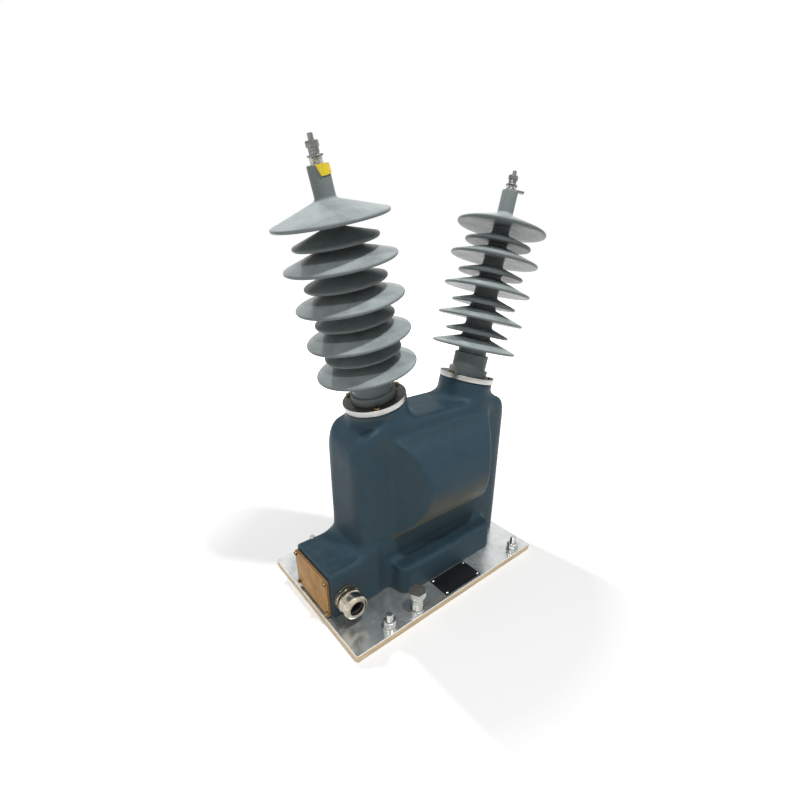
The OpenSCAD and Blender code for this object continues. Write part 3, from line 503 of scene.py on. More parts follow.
def soften(profile, radius, steps=3):
    """Rounds each corner of a closed outline by up to a radius."""
    result = []
    count = len(profile)
    for i, point in enumerate(profile):
        p = Vector(point)
        a = Vector(profile[i - 1]) - p
        b = Vector(profile[(i + 1) % count]) - p
        if a.length < 1e-9 or b.length < 1e-9:
            continue
        opening = a.angle(b)
        if opening > math.radians(172):
            result.append(tuple(p))
            continue
        reach = min(radius / math.tan(opening / 2), 0.45 * a.length, 0.45 * b.length)
        start, end = p + a.normalized() * reach, p + b.normalized() * reach
        for step in range(steps + 1):
            t = step / steps
            result.append(tuple(start.lerp(p, t).lerp(p.lerp(end, t), t)))
    return result


def skin(bm, loops, closed=False):
    """Joins each loop of vertices to the next by faces, and the last to the first where closed."""
    for lower, upper in zip(loops, loops[1:] + loops[:1] * closed):
        for i, vertex in enumerate(lower):
            j = (i + 1) % len(lower)
            bm.faces.new((vertex, lower[j], upper[j], upper[i]))


def turned(profile, segments, closed=True):
    """Closed bmesh turned about +Z from (radius, height) points: a ring, or from the axis to the axis."""
    bm = bmesh.new()
    turns = [2 * math.pi * step / segments for step in range(segments)]
    loops = [[bm.verts.new((r * math.cos(t), r * math.sin(t), z)) for t in turns]
             for r, z in (profile if closed else profile[1:-1])]
    skin(bm, loops, closed)
    if not closed:
        for (_, z), loop in ((profile[0], loops[0]), (profile[-1], loops[-1])):
            pole = bm.verts.new((0, 0, z))
            for a, b in zip(loop, loop[1:] + loop[:1]):
                bm.faces.new((pole, a, b))
    bmesh.ops.recalc_face_normals(bm, faces=bm.faces)
    return bm


def threaded_rod(radius, pitch, low, high, plain_to=None, segments=36):
    """Rod along +Z with a helical thread from plain_to upwards and a turned-off tip."""
    depth, tip, row = 0.55 * pitch, 0.2 * radius, pitch / 6
    plain_to = low if plain_to is None else plain_to
    rows = [low] + [plain_to] * (plain_to > low) + list(np.arange(plain_to + row, high - 1e-6, row)) + [high]
    bm = bmesh.new()
    loops = []
    for z in rows:
        loop = []
        for turn in (step / segments for step in range(segments)):
            r = radius
            if z > plain_to:
                r -= depth * abs(((z / pitch - turn) % 1.0) * 2 - 1)
            if z > high - tip:
                r = min(r, radius - tip + (high - z))
            a = 2 * math.pi * turn
            loop.append(bm.verts.new((r * math.cos(a), r * math.sin(a), z)))
        loops.append(loop)
    skin(bm, loops)
    bm.faces.new(loops[0][::-1])
    bm.faces.new(loops[-1])
    return bm


def cuboid(size, z):
    """Box of a size about a point on the axis."""
    bm = bmesh.new()
    bmesh.ops.create_cube(bm, size=1.0, matrix=Matrix.Translation((0, 0, z)) @ Matrix.Diagonal((*size, 1)))
    return bm


def add_bmesh(target, other):
    """Adds a second closed shell to a bmesh."""
    mesh = bmesh_to_mesh(other, "shell")
    target.from_mesh(mesh)
    bpy.data.meshes.remove(mesh)


def edged_copy(node, name, finishes, width, segments=2, sharp_over=SHARP):
    """Copy of a CAD node with its triangles joined into faces and its edges rounded."""
    bm = bmesh.new()
    bm.from_mesh(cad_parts[node].data)
    bmesh.ops.remove_doubles(bm, verts=bm.verts, dist=1e-6)
    bmesh.ops.dissolve_limit(bm, angle_limit=math.radians(1.0), verts=bm.verts, edges=bm.edges)
    piece = new_piece(name, bmesh_to_mesh(bm, name), finishes, sharp_over)
    bevel = piece.modifiers.new("edges", "BEVEL")
    bevel.width = width
    bevel.segments = segments
    bevel.limit_method = "ANGLE"
    bevel.angle_limit = math.radians(32)
    bevel.use_clamp_overlap = True
    return keep_result(piece, bevel, sharp_over)


def dress(node, name, finish, slot, width, sharp_over=SHARP):
    """Edged copy of a CAD node that stands for it."""
    return stands_for(edged_copy(node, name, [finish], width, sharp_over=sharp_over), slot, node)


def evaluated_mesh(piece):
    depsgraph = bpy.context.evaluated_depsgraph_get()
    return bpy.data.meshes.new_from_object(piece.evaluated_get(depsgraph))


def keep_result(piece, modifier, sharp_over=SHARP):
    """Makes a modifier's result the piece's own mesh and drops the modifier."""
    mesh, old = evaluated_mesh(piece), piece.data
    piece.modifiers.remove(modifier)
    piece.data = mesh
    bpy.data.meshes.remove(old)
    mesh.name = piece.name
    smooth(mesh, sharp_over)
    return piece


def at_seat(side):
    """Frame of a bushing: its seat at zero and its axis along +Z."""
    bushing = bpy.context.scene.transformer_bushing
    place = Matrix.Translation((bushing.body_x + side * bushing.seat_x, 0, bushing.seat_z))
    return place @ Matrix.Rotation(side * bushing.lean, 4, "Y")


# Geometry Nodes


def new_tree(name, sockets):
    """Tree with a geometry input, the named inputs and a geometry output."""
    tree = bpy.data.node_groups.new(name, "GeometryNodeTree")
    tree.interface.new_socket("Geometry", in_out="INPUT", socket_type="NodeSocketGeometry")
    for label, kind in sockets:
        tree.interface.new_socket(label, in_out="INPUT", socket_type=kind)
    tree.interface.new_socket("Geometry", in_out="OUTPUT", socket_type="NodeSocketGeometry")
    return tree, tree.nodes.new("NodeGroupInput"), tree.nodes.new("NodeGroupOutput")


def close_tree(tree, source, entry, exit_node, merge=False):
    """Ends a tree in Realize Instances, a merge where asked, and Set Material."""
    result = add_node(tree, "GeometryNodeRealizeInstances", {0: source}).outputs[0]
    if merge:
        weld = add_node(tree, "GeometryNodeMergeByDistance", {"Geometry": result, "Distance": 2e-6})
        result = weld.outputs[0]
    paint = add_node(tree, "GeometryNodeSetMaterial",
                     {"Geometry": result, "Material": entry.outputs["Finish"]})
    tree.links.new(paint.outputs[0], exit_node.inputs[0])
    return tree


def turned_set_tree(name, merge):
    """Copies of a shape turned about +Z, each moved out by a radius."""
    tree, entry, exit_node = new_tree(name, [
        ("Count", "NodeSocketInt"), ("Radius", "NodeSocketFloat"), ("Start", "NodeSocketFloat"),
        ("Finish", "NodeSocketMaterial")])
    given = entry.outputs
    points = add_node(tree, "GeometryNodePoints", {"Count": given["Count"]})
    index = add_node(tree, "GeometryNodeInputIndex", {}).outputs[0]
    turn = add_node(tree, "ShaderNodeMath", {0: 2 * math.pi, 1: given["Count"]}, operation="DIVIDE")
    turn = turn.outputs[0]
    each = add_node(tree, "ShaderNodeMath", {0: index, 1: turn, 2: given["Start"]}, operation="MULTIPLY_ADD")
    euler = add_node(tree, "ShaderNodeCombineXYZ", {"Z": each.outputs[0]})
    rotation = add_node(tree, "FunctionNodeEulerToRotation", {0: euler.outputs[0]})
    reach = add_node(tree, "ShaderNodeCombineXYZ", {"X": given["Radius"]})
    moved = add_node(tree, "GeometryNodeTransform", {
        "Geometry": given["Geometry"], "Translation": reach.outputs[0]})
    copies = add_node(tree, "GeometryNodeInstanceOnPoints", {
        "Points": points.outputs[0], "Instance": moved.outputs[0], "Rotation": rotation.outputs[0]})
    return close_tree(tree, copies.outputs[0], entry, exit_node, merge)


def corner_set_tree():
    """Copies of a shape at the four corners of a rectangle."""
    tree, entry, exit_node = new_tree("corner_set", [
        ("Span X", "NodeSocketFloat"), ("Span Y", "NodeSocketFloat"), ("Finish", "NodeSocketMaterial")])
    given = entry.outputs
    grid = add_node(tree, "GeometryNodeMeshGrid", {
        "Vertices X": 2, "Vertices Y": 2, "Size X": given["Span X"], "Size Y": given["Span Y"]})
    copies = add_node(tree, "GeometryNodeInstanceOnPoints", {
        "Points": grid.outputs["Mesh"], "Instance": given["Geometry"]})
    return close_tree(tree, copies.outputs[0], entry, exit_node)


TREES = {}


def make_trees():
    TREES["turned_set"] = turned_set_tree("turned_set", merge=False)
    TREES["turned_skin"] = turned_set_tree("turned_skin", merge=True)
    TREES["corner_set"] = corner_set_tree()


def grow(name, mesh, tree_name, place, finish, sharp_over=SHARP, **values):
    """Runs a tree on a mesh, moves the result to its place and keeps it as a plain mesh."""
    piece = link_new(name, mesh)
    tree = TREES[tree_name]
    modifier = piece.modifiers.new(tree_name, "NODES")
    modifier.node_group = tree
    values["Finish"] = FINISHES[finish]
    for item in tree.interface.items_tree:
        if item.in_out == "INPUT" and item.name in values:
            modifier[item.identifier] = values[item.name]
    keep_result(piece, modifier, sharp_over)
    piece.data.transform(place)
    return piece


def corners(along, across):
    return {"Span X": along, "Span Y": across}


# Shape of the casting, in millimetres


def rounded_rect(px, py, half_x, half_y, r):
    """Distance to a rectangle about the origin with round corners."""
    qx = np.abs(px) - half_x + r
    qy = np.abs(py) - half_y + r
    outside = np.hypot(np.maximum(qx, 0), np.maximum(qy, 0))
    return outside + np.minimum(np.maximum(qx, qy), 0) - r


def soft_union(a, b, reach):
    near = np.maximum(reach - np.abs(a - b), 0) / reach
    return np.minimum(a, b) - near * near * reach / 4


def soft_common(a, b, reach):
    return -soft_union(-a, -b, reach)


PLATE_TOP = 12.0
DEEP = 400.0
SLAB = Form(half_l=172.5, half_w=57.0, top=320.0, draft=0.75, shoulder=58.0, edge=33.0, ridge=16.0, soft=12.0)
BULGE = Form(r=104.0, z=206.0, root=104.5, crest=70.0)
STEP = Form(half_l=114.5, half_w=89.0, top=68.0, draft=1.5, shoulder=6.0, edge=18.0, ridge=11.0, soft=6.0)
BOX = Form(end=-200.5, inner=-120.0, half_w=56.0, top=100.0, ridge=10.0, soft=3.0)
TURRET = Form(r=48.5, depth=50.0)
CAVITY = Form(back=-152.5, half_w=44.0, half_h=29.0, z=53.5, r=5.0)
GLAND_HOLE = Form(x=-176.5, z=50.0, r=16.1)
COIL = Form(r=88.2, half=58.0)
CORE = Form(half_l=98.2, half_w=20.2, low=25.8, high=226.2, window_half=57.8, yoke=36.2, leg=40.2, edge=1.0)
CONDUCTOR = Form(r=6.2, foot=-71.0)
GRID_LOW, GRID_HIGH = np.array([-206.0, -112.0, 6.0]), np.array([212.0, 112.0, 364.0])


def upright(across, z, top, half, r):
    """Outline from far below the plate to a top with round shoulders."""
    return rounded_rect(across, z - (top - DEEP), half, DEEP, r)


def core_rect(along, z, half, low, high):
    return rounded_rect(along, z - (low + high) / 2, half, (high - low) / 2, CORE.edge)


def resin_distance(x, y, z, settings):
    """Signed distance to the casting: slab, bulge, step, box and turrets, softly joined."""
    bushing = bpy.context.scene.transformer_bushing
    middle = bushing.body_x / MM
    along, rise = x - middle, z - PLATE_TOP
    half_w = SLAB.half_w - rise * math.tan(math.radians(SLAB.draft))
    front = upright(along, z, SLAB.top, SLAB.half_l, SLAB.shoulder)
    plan = rounded_rect(along, y, SLAB.half_l, half_w, SLAB.edge)
    ends = upright(y, z, SLAB.top, half_w, SLAB.ridge)
    slab = soft_common(soft_common(front, plan, SLAB.soft), ends, SLAB.soft)

    box = upright(y, z, BOX.top, BOX.half_w, BOX.ridge)
    box = soft_common(np.maximum(box, x - BOX.inner), BOX.end - x, BOX.soft)
    slab = soft_union(slab, box, settings.box_blend / MM)
    slab = np.maximum(slab, np.abs(y) - np.maximum(half_w, BOX.half_w))

    across = np.hypot(y, z - BULGE.z)
    run, drop = BULGE.r - SLAB.half_w, BULGE.root - BULGE.crest
    slope = (np.abs(along) - BULGE.root) * run + (np.abs(y) - SLAB.half_w) * drop
    bulge = soft_common(across - BULGE.r, slope / math.hypot(run, drop), settings.crease / MM)
    body = soft_union(slab, bulge, settings.bulge_blend / MM)

    step_w = STEP.half_w - rise * math.tan(math.radians(STEP.draft))
    step = np.maximum(rounded_rect(along, y, STEP.half_l, step_w, STEP.edge),
                      upright(y, z, STEP.top, step_w, STEP.ridge))
    step = soft_common(step, upright(along, z, STEP.top, STEP.half_l, STEP.shoulder), STEP.soft)
    body = soft_union(body, step, settings.step_blend / MM)

    sin, cos = math.sin(bushing.lean), math.cos(bushing.lean)
    holes = []
    for side in SIDES.values():
        dx, dz = x - (middle + side * bushing.seat_x / MM), z - bushing.seat_z / MM
        up = side * sin * dx + cos * dz
        out = np.hypot(cos * dx - side * sin * dz, y)
        turret = np.maximum(np.maximum(out - TURRET.r, up), -TURRET.depth - up)
        body = soft_union(body, turret, settings.turret_blend / MM)
        body = np.where((up > 0) & (out < 2 * TURRET.r), np.maximum(body, up), body)
        holes.append(np.maximum(out - CONDUCTOR.r, CONDUCTOR.foot - up))
    body = np.maximum(np.maximum(body, PLATE_TOP - z), BOX.end - x)

    cavity = rounded_rect(y, z - CAVITY.z, CAVITY.half_w, CAVITY.half_h, CAVITY.r)
    cavity = np.maximum(cavity, x - CAVITY.back)
    gland = np.maximum(np.hypot(x - GLAND_HOLE.x, z - GLAND_HOLE.z) - GLAND_HOLE.r, y)
    coil = np.maximum(across - COIL.r, np.abs(along) - COIL.half)
    core = core_rect(along, z, CORE.half_l, CORE.low, CORE.high)
    window = core_rect(along, z, CORE.window_half, CORE.low + CORE.yoke, CORE.high - CORE.leg)
    core = np.maximum(np.maximum(core, -window), np.abs(y) - CORE.half_w)
    for hole in [cavity, gland, coil, core] + holes:
        body = np.maximum(body, -hole)
    return body


def casting_mesh(settings):
    """Surface of the casting, from its distance on a regular grid."""
    step = settings.grid / MM
    band = 3 * step
    axes = [np.arange(a, b + step, step, dtype=np.float32) for a, b in zip(GRID_LOW, GRID_HIGH)]
    x, y, z = np.meshgrid(*axes, indexing="ij", sparse=True)
    distance = np.broadcast_to(resin_distance(x, y, z, settings), [len(a) for a in axes]).astype(np.float32)
    grid = openvdb.FloatGrid(band)
    grid.copyFromArray(np.ascontiguousarray(np.clip(distance, -band, band)))
    points, quads = grid.convertToQuads(0.0)
    points = (points * step + GRID_LOW) * MM
    a, b, c, d = (points[quads[:, i]] for i in range(4))
    volume = np.einsum("ij,ij->i", a, np.cross(b, c) + np.cross(c, d)).sum()
    return from_arrays("cast_body", points, quads if volume > 0 else quads[:, ::-1])


# Operators, one for each piece or group of like pieces


class TRANSFORMER_OT_cast_body(bpy.types.Operator):
    """Cast the resin body with its soft joints"""

    bl_idname = "transformer.cast_body"
    bl_label = "Cast body"

    def execute(self, context):
        mesh = casting_mesh(context.scene.transformer_casting)
        piece = new_piece("cast_body", mesh, ["resin"], CAST_SHARP)
        ease = piece.modifiers.new("ease", "SMOOTH")
        ease.factor = 0.5
        ease.iterations = 3
        keep_result(piece, ease, CAST_SHARP)
        stands_for(piece, "resin", "resin_body")
        return {"FINISHED"}


def root_r(bushing, i):
    """Radius of the shank above a shed: it narrows upwards, and the last shed meets the neck."""
    if i == bushing.sheds - 1:
        return bushing.neck_r
    return bushing.shank_r + (bushing.shank_top_r - bushing.shank_r) * i / (bushing.sheds - 2)


def shed_sides(bushing, i):
    """Middle of a shed's rim, and its upper and under sides as functions of the radius."""
    radius = bushing.large_r if i % 2 == 0 else bushing.small_r
    rim = (radius - bushing.rim_r, bushing.first + i * bushing.pitch)

    def side(slope, sign):
        x = rim[0] + bushing.rim_r * math.sin(slope)
        z = rim[1] + sign * bushing.rim_r * math.cos(slope)
        return lambda r: z + (x - r) * math.tan(slope)

    return rim, side(bushing.fall, 1), side(bushing.under, -1)


def between(a, b):
    """Three points on the way from one point to another."""
    return [tuple(Vector(a).lerp(Vector(b), part)) for part in (0.25, 0.5, 0.75)]


UNDER_FILLET = 1.4 * MM
FOOT_BORE, FOOT_TOP, FOOT_EDGE, NECK_EDGE = 6.1 * MM, 50 * MM, 1.0 * MM, 1.5 * MM
FOOT = ((39, 2), (39, 6), (35, 6), (35, 20), (30.5, 20), (30.5, 46))


def shed_outline(bushing, i):
    """Outline of one shed from its under side, round its rim and up its fillet."""
    fall, under_fall = math.degrees(bushing.fall), math.degrees(bushing.under)
    rim, upper, under = shed_sides(bushing, i)
    root = root_r(bushing, i)
    inner = bushing.shank_r if i == 0 else root_r(bushing, i - 1)
    end = bushing.neck_top if i == bushing.sheds - 1 else shed_sides(bushing, i + 1)[2](root)
    room = end - upper(root) - 1.2 * UNDER_FILLET
    fillet_r = min(bushing.fillet_r, room * math.cos(bushing.fall) / (1 - math.sin(bushing.fall)))
    centre = (root + fillet_r, upper(root + fillet_r) + fillet_r / math.cos(bushing.fall))
    start = arc((inner + UNDER_FILLET, under(inner) - UNDER_FILLET), UNDER_FILLET, 180, 90, 4)
    edge = arc(rim, bushing.rim_r, under_fall - 90, 90 - fall, 8)
    fillet = arc(centre, fillet_r, -90 - fall, -180, 8)
    return start + between(start[-1], edge[0]) + edge + between(edge[-1], fillet[0]) + fillet


def bushing_outline(bushing):
    """Closed outline of a bushing: clamped flange, two feet, sheds and neck."""
    shank, top = bushing.shank_r, bushing.neck_top
    foot = [(r * MM, z * MM) for r, z in FOOT]
    foot = [(FOOT_BORE, foot[0][1]), *foot, (shank, foot[-1][1]), (shank, FOOT_TOP), (FOOT_BORE, FOOT_TOP)]
    # The foot's own top is left out, because the sheds go on from there
    points = [p for p in soften(foot, FOOT_EDGE)
              if p[1] < FOOT_TOP - 1 * MM and not (p[0] < shank - 1e-4 and p[1] > 30 * MM)]
    for i in range(bushing.sheds):
        points += shed_outline(bushing, i)
    points += arc((bushing.neck_r - NECK_EDGE, top - NECK_EDGE), NECK_EDGE, 0, 90, 5)
    return points + [(FOOT_BORE, top)]


class TRANSFORMER_OT_bushings(bpy.types.Operator):
    """Turn both bushings with their alternating sheds"""

    bl_idname = "transformer.bushings"
    bl_label = "Bushings"

    def execute(self, context):
        bushing = context.scene.transformer_bushing
        outline = bushing_outline(bushing)
        turn = 2 * math.pi / bushing.segments
        count = len(outline)
        points = [(r, 0, z) for r, z in outline]
        points += [(r * math.cos(turn), r * math.sin(turn), z) for r, z in outline]
        faces = [(i, i + count, (i + 1) % count + count, (i + 1) % count) for i in range(count)]
        for label, side in SIDES.items():
            wedge = from_arrays("wedge", points, faces)
            wedge.flip_normals()
            piece = grow("shed_bushing_" + label, wedge, "turned_skin", at_seat(side), "shed", ROUND_SHARP,
                         Count=bushing.segments, Radius=0.0, Start=0.0)
            self.check_outwards(piece.data)
            stands_for(piece, "shed", "bushing_" + label)
        return {"FINISHED"}

    def check_outwards(self, mesh):
        """Turns the skin round if its faces point inwards."""
        bm = bmesh.new()
        bm.from_mesh(mesh)
        if bm.calc_volume(signed=True) < 0:
            bmesh.ops.reverse_faces(bm, faces=bm.faces)
            bm.to_mesh(mesh)
        bm.free()


RING = Form(inner=35.3 * MM, step_r=39.3 * MM, step=6 * MM, edge=0.7 * MM)

# Thread radius, shank length and head height
RING_SCREW, COVER_SCREW = (3 * MM, 28 * MM, 3.6 * MM), (2 * MM, 18 * MM, 3.9 * MM)


class TRANSFORMER_OT_flange_rings(bpy.types.Operator):
    """Turn the flange rings and set their screws"""

    bl_idname = "transformer.flange_rings"
    bl_label = "Flange rings"

    def execute(self, context):
        hardware = context.scene.transformer_hardware
        r, t = hardware.ring_r, hardware.ring_t
        profile = soften([(RING.inner, RING.step), (RING.step_r, RING.step), (RING.step_r, 0), (r, 0), (r, t),
                          (RING.inner, t)], RING.edge)
        for label, side in SIDES.items():
            place = at_seat(side)
            ring = set_down(turned(profile, 120), "clamp_ring_" + label, place, ["ring", "ring_face"])
            up = place.to_3x3() @ Vector((0, 0, 1))
            paint(ring, lambda face: face.normal.dot(up) > 0.8)
            stands_for(ring, "ring", "flange_ring_" + label)
            screw = slotted_screw(*RING_SCREW)
            screw.transform(Matrix.Translation((0, 0, t)))
            screws = grow("ring_screws_" + label, screw, "turned_set", place, "brass",
                          Count=hardware.ring_screws, Radius=hardware.ring_circle,
                          Start=0.0 if side == LEFT else math.pi)
            stands_for(screws, "flange_screw", "flange_screws_" + label)
        return {"FINISHED"}


def slotted_screw(r, shank, head_t):
    """Round-headed screw hanging from z = 0, with a slot across its head."""
    head_r, edge = 1.75 * r, 0.3 * r
    profile = [(0, -shank), (r * 0.8, -shank), (r, -shank + 0.2 * r), (r, 0), (head_r, 0)]
    profile += arc((head_r - edge, head_t - 1.6 * edge), edge, 0, 65, 4)
    profile += [(0.55 * head_r, head_t - 0.3 * edge), (0.2 * head_r, head_t), (0, head_t)]
    slot = cuboid((4 * r, 0.34 * r, 0.9 * r), head_t)
    return carve(bmesh_to_mesh(turned(profile, 28, closed=False), "screw"), bmesh_to_mesh(slot, "slot"))


def carve(mesh, cutter):
    """Cuts one closed mesh out of another."""
    piece, tool = link_new("carved", mesh), link_new("cutter", cutter)
    cut = piece.modifiers.new("cut", "BOOLEAN")
    cut.operation, cut.solver, cut.object = "DIFFERENCE", "MANIFOLD", tool
    result = evaluated_mesh(piece)
    for thing in (piece, tool):
        data = thing.data
        bpy.data.objects.remove(thing)
        bpy.data.meshes.remove(data)
    return result


def washer_ring(low, high, inner, outer, edge=0.4 * MM):
    """Turned ring between two stations with rounded edges."""
    return turned(soften([(inner, low), (outer, low), (outer, high), (inner, high)], edge), 56)


def coil_washer(low, height, inner, outer):
    """Spring washer of two turns between flat ends."""
    turns, steps = 2, 72
    rise = height / turns
    bm = bmesh.new()
    loops = []
    for part in (step / steps for step in range(turns * steps + 1)):
        bottom = rise * (part - 0.5)
        top = min(bottom + 0.93 * rise, height)
        bottom = max(bottom, 0.0)
        c, s = math.cos(2 * math.pi * part), math.sin(2 * math.pi * part)
        loops.append([bm.verts.new((r * c, r * s, low + z))
                      for r, z in ((inner, bottom), (outer, bottom), (outer, top), (inner, top))])
    skin(bm, loops)
    bm.faces.new(loops[0])
    bm.faces.new(loops[-1][::-1])
    bmesh.ops.recalc_face_normals(bm, faces=bm.faces)
    return bm


class TRANSFORMER_OT_terminals(bpy.types.Operator):
    """Thread the terminal studs and dress their collars, washers and nuts"""

    bl_idname = "transformer.terminals"
    bl_label = "Primary terminals"

    def execute(self, context):
        hardware, neck_top = context.scene.transformer_hardware, context.scene.transformer_bushing.neck_top
        bore = hardware.terminal_r + 0.1 * MM
        washer_foot = neck_top + hardware.sleeve_l
        coil_foot = washer_foot + hardware.washer_t
        nut_top = coil_foot + hardware.coil_l + hardware.nut_t
        for label, side in SIDES.items():
            place = at_seat(side)
            self.rod(hardware, neck_top, nut_top, label, place)
            sleeve_foot = neck_top if side == LEFT else neck_top + 3 * MM
            sleeve = washer_ring(sleeve_foot, washer_foot, bore, 7.6 * MM)
            washer = washer_ring(washer_foot, coil_foot, bore, 9.5 * MM, 0.8 * MM)
            coil = coil_washer(coil_foot, hardware.coil_l, bore, hardware.coil_r)
            for bm, name, slot, node in (
                    (sleeve, "collar_", "sleeve", "terminal_sleeve_"),
                    (washer, "flat_washer_", "zinc", "terminal_washer_"),
                    (coil, "coil_washer_", "zinc", "terminal_spring_washer_")):
                stands_for(set_down(bm, name + label, place, [slot]), slot, node + label)
            dress("terminal_nut_" + label, "hex_nut_" + label, "zinc", "zinc", hardware.edge)
        dress("tab_washer_right", "plain_tab_right", "zinc", "zinc", hardware.edge)
        self.marker()
        return {"FINISHED"}

    def rod(self, hardware, neck_top, nut_top, label, place):
        """Lower lead, conductor rod, threaded stud and turned-down tip."""
        foot, tip, tip_r, lap = CONDUCTOR.foot * MM, neck_top + hardware.terminal_l, hardware.tip_r, 0.5 * MM
        rod = turned([(0, foot), (5.2 * MM, foot), (6 * MM, foot + 1 * MM), (6 * MM, neck_top - 0.6 * MM),
                      (5.4 * MM, neck_top), (0, neck_top)], 40, closed=False)
        add_bmesh(rod, threaded_rod(hardware.terminal_r, hardware.terminal_pitch, neck_top - lap, nut_top))
        add_bmesh(rod, turned([(0, nut_top - lap), (tip_r, nut_top - lap), (tip_r, tip - 0.5 * MM),
                               (tip_r - 0.5 * MM, tip), (0, tip)], 36, closed=False))
        piece = set_down(rod, "terminal_rod_" + label, place, ["brass", "zinc"], THREAD_SHARP)
        back = place.inverted()
        paint(piece, lambda face: (back @ face.center).z > nut_top - 0.6 * MM)
        stands_for(piece, "conductor", "conductor_" + label)

    def marker(self):
        """Thin tag bent round the left neck, with one corner cut off and its lower edge lifted."""
        columns, rows, inner, thick = 26, 8, 13.15 * MM, 0.8 * MM
        start, wrap, high, tall = math.radians(-130), math.radians(86), 307.7 * MM, 11.4 * MM
        bm = bmesh.new()
        sheets = []
        for layer in (0, 1):
            sheet = []
            for i in range(columns + 1):
                s = i / columns
                depth = tall * min(1.0, 0.03 + s / 0.21) * (1 - 0.12 * max(0.0, s - 0.5) / 0.5)
                line = []
                for j in range(rows + 1):
                    t = j / rows
                    lift = 1.6 * MM * max(0.0, s - 0.55) * (1 - t) ** 2
                    r = inner + layer * thick + lift
                    a = start + wrap * s
                    line.append(bm.verts.new((r * math.cos(a), r * math.sin(a), high - depth * (1 - t))))
                sheet.append(line)
            sheets.append(sheet)
        for i in range(columns):
            for j in range(rows):
                for sheet in sheets:
                    bm.faces.new((sheet[i][j], sheet[i + 1][j], sheet[i + 1][j + 1], sheet[i][j + 1]))
        inside, outside = sheets
        border = [(i, 0) for i in range(columns)] + [(columns, j) for j in range(rows)]
        border += [(i, rows) for i in range(columns, 0, -1)] + [(0, j) for j in range(rows, 0, -1)]
        for (i, j), (k, m) in zip(border, border[1:] + border[:1]):
            bm.faces.new((inside[i][j], inside[k][m], outside[k][m], outside[i][j])).material_index = 1
        bmesh.ops.recalc_face_normals(bm, faces=bm.faces)
        piece = set_down(bm, "yellow_marker", at_seat(LEFT), ["marker", "paper"])
        stands_for(piece, "marker", "neck_marker_left")


COVER_FACE = -206.0 * MM
COVER_SPANS = (62 * MM, 96 * MM)


class TRANSFORMER_OT_terminal_box(bpy.types.Operator):
    """Close the terminal box with its cover, gasket and screws"""

    bl_idname = "transformer.terminal_box"
    bl_label = "Terminal box"

    def execute(self, context):
        cover = edged_copy("terminal_cover", "box_cover", ["cover", "cover_rim"], 0.5 * MM)
        # The cover's side faces take the dark rim finish, painted shade for the dark line between the cover
        # and the box
        paint(cover, lambda face: abs(face.normal.x) < 0.3)
        stands_for(cover, "cover", "terminal_cover")
        dress("cover_gasket", "box_gasket", "rubber", "gasket", 0.25 * MM)
        place = Matrix.Translation((COVER_FACE, 0, CAVITY.z * MM))
        place = place @ Matrix.Rotation(-math.pi / 2, 4, "Y")
        screws = grow("box_screws", slotted_screw(*COVER_SCREW), "corner_set", place, "brass",
                      **corners(*COVER_SPANS))
        stands_for(screws, "cover_screw", "cover_screws")
        return {"FINISHED"}


GLAND_WAIST = [(16.1, 13), (20.2, 13), (20.6, 13.6), (20.6, 17.4), (20.0, 18.2), (18.6, 18.8), (18.2, 20.4),
               (18.6, 22.0), (20.3, 22.8)]
GLAND_MOUTH = [(13.2, 37.0), (12.5, 36.5), (12.25, 35.6), (12.25, 33), (16.1, 33)]


class TRANSFORMER_OT_cable_gland(bpy.types.Operator):
    """Turn the cable gland with its knurled ring and open mouth"""

    bl_idname = "transformer.cable_gland"
    bl_label = "Cable gland"

    def execute(self, context):
        out = Matrix.Translation((GLAND_HOLE.x * MM, -BOX.half_w * MM, GLAND_HOLE.z * MM))
        out = out @ Matrix.Rotation(math.pi / 2, 4, "X")
        dress("gland_body", "gland_barrel", "nickel", "nickel", 0.5 * MM)
        dress("gland_lock_nut", "gland_inner_nut", "nickel", "nickel", 0.4 * MM)
        dress("gland_seal", "gland_rubber", "rubber", "gasket", 0.6 * MM)
        outline = GLAND_WAIST + arc((21 - 4.6, 32.4), 4.6, -20, 90, 9) + GLAND_MOUTH
        cap = turned([(r * MM, z * MM) for r, z in outline], 96)
        stands_for(set_down(cap, "gland_cap_nut", out, ["nickel"]), "nickel", "gland_cap")
        rib = cuboid((1.1 * MM, 1.6 * MM, 3.2 * MM), 15.5 * MM)
        bmesh.ops.bevel(rib, geom=list(rib.edges), offset=0.35 * MM, segments=2, affect="EDGES")
        ribs = grow("gland_ribs", bmesh_to_mesh(rib, "rib"), "turned_set", out, "nickel", Count=36,
                    Radius=20.55 * MM, Start=0.0)
        stands_for(ribs, "nickel")
        return {"FINISHED"}


BARE_PLATE = (21.5 * MM, -113 * MM, 13.2 * MM)
RIVET_SPANS = (77.5 * MM, 36.6 * MM)
RIVET = ((0, -6), (1.6, -6), (1.6, 0), (2.8, 0), (2.75, 0.5), (2.3, 1.2), (1.4, 1.75), (0, 1.92))


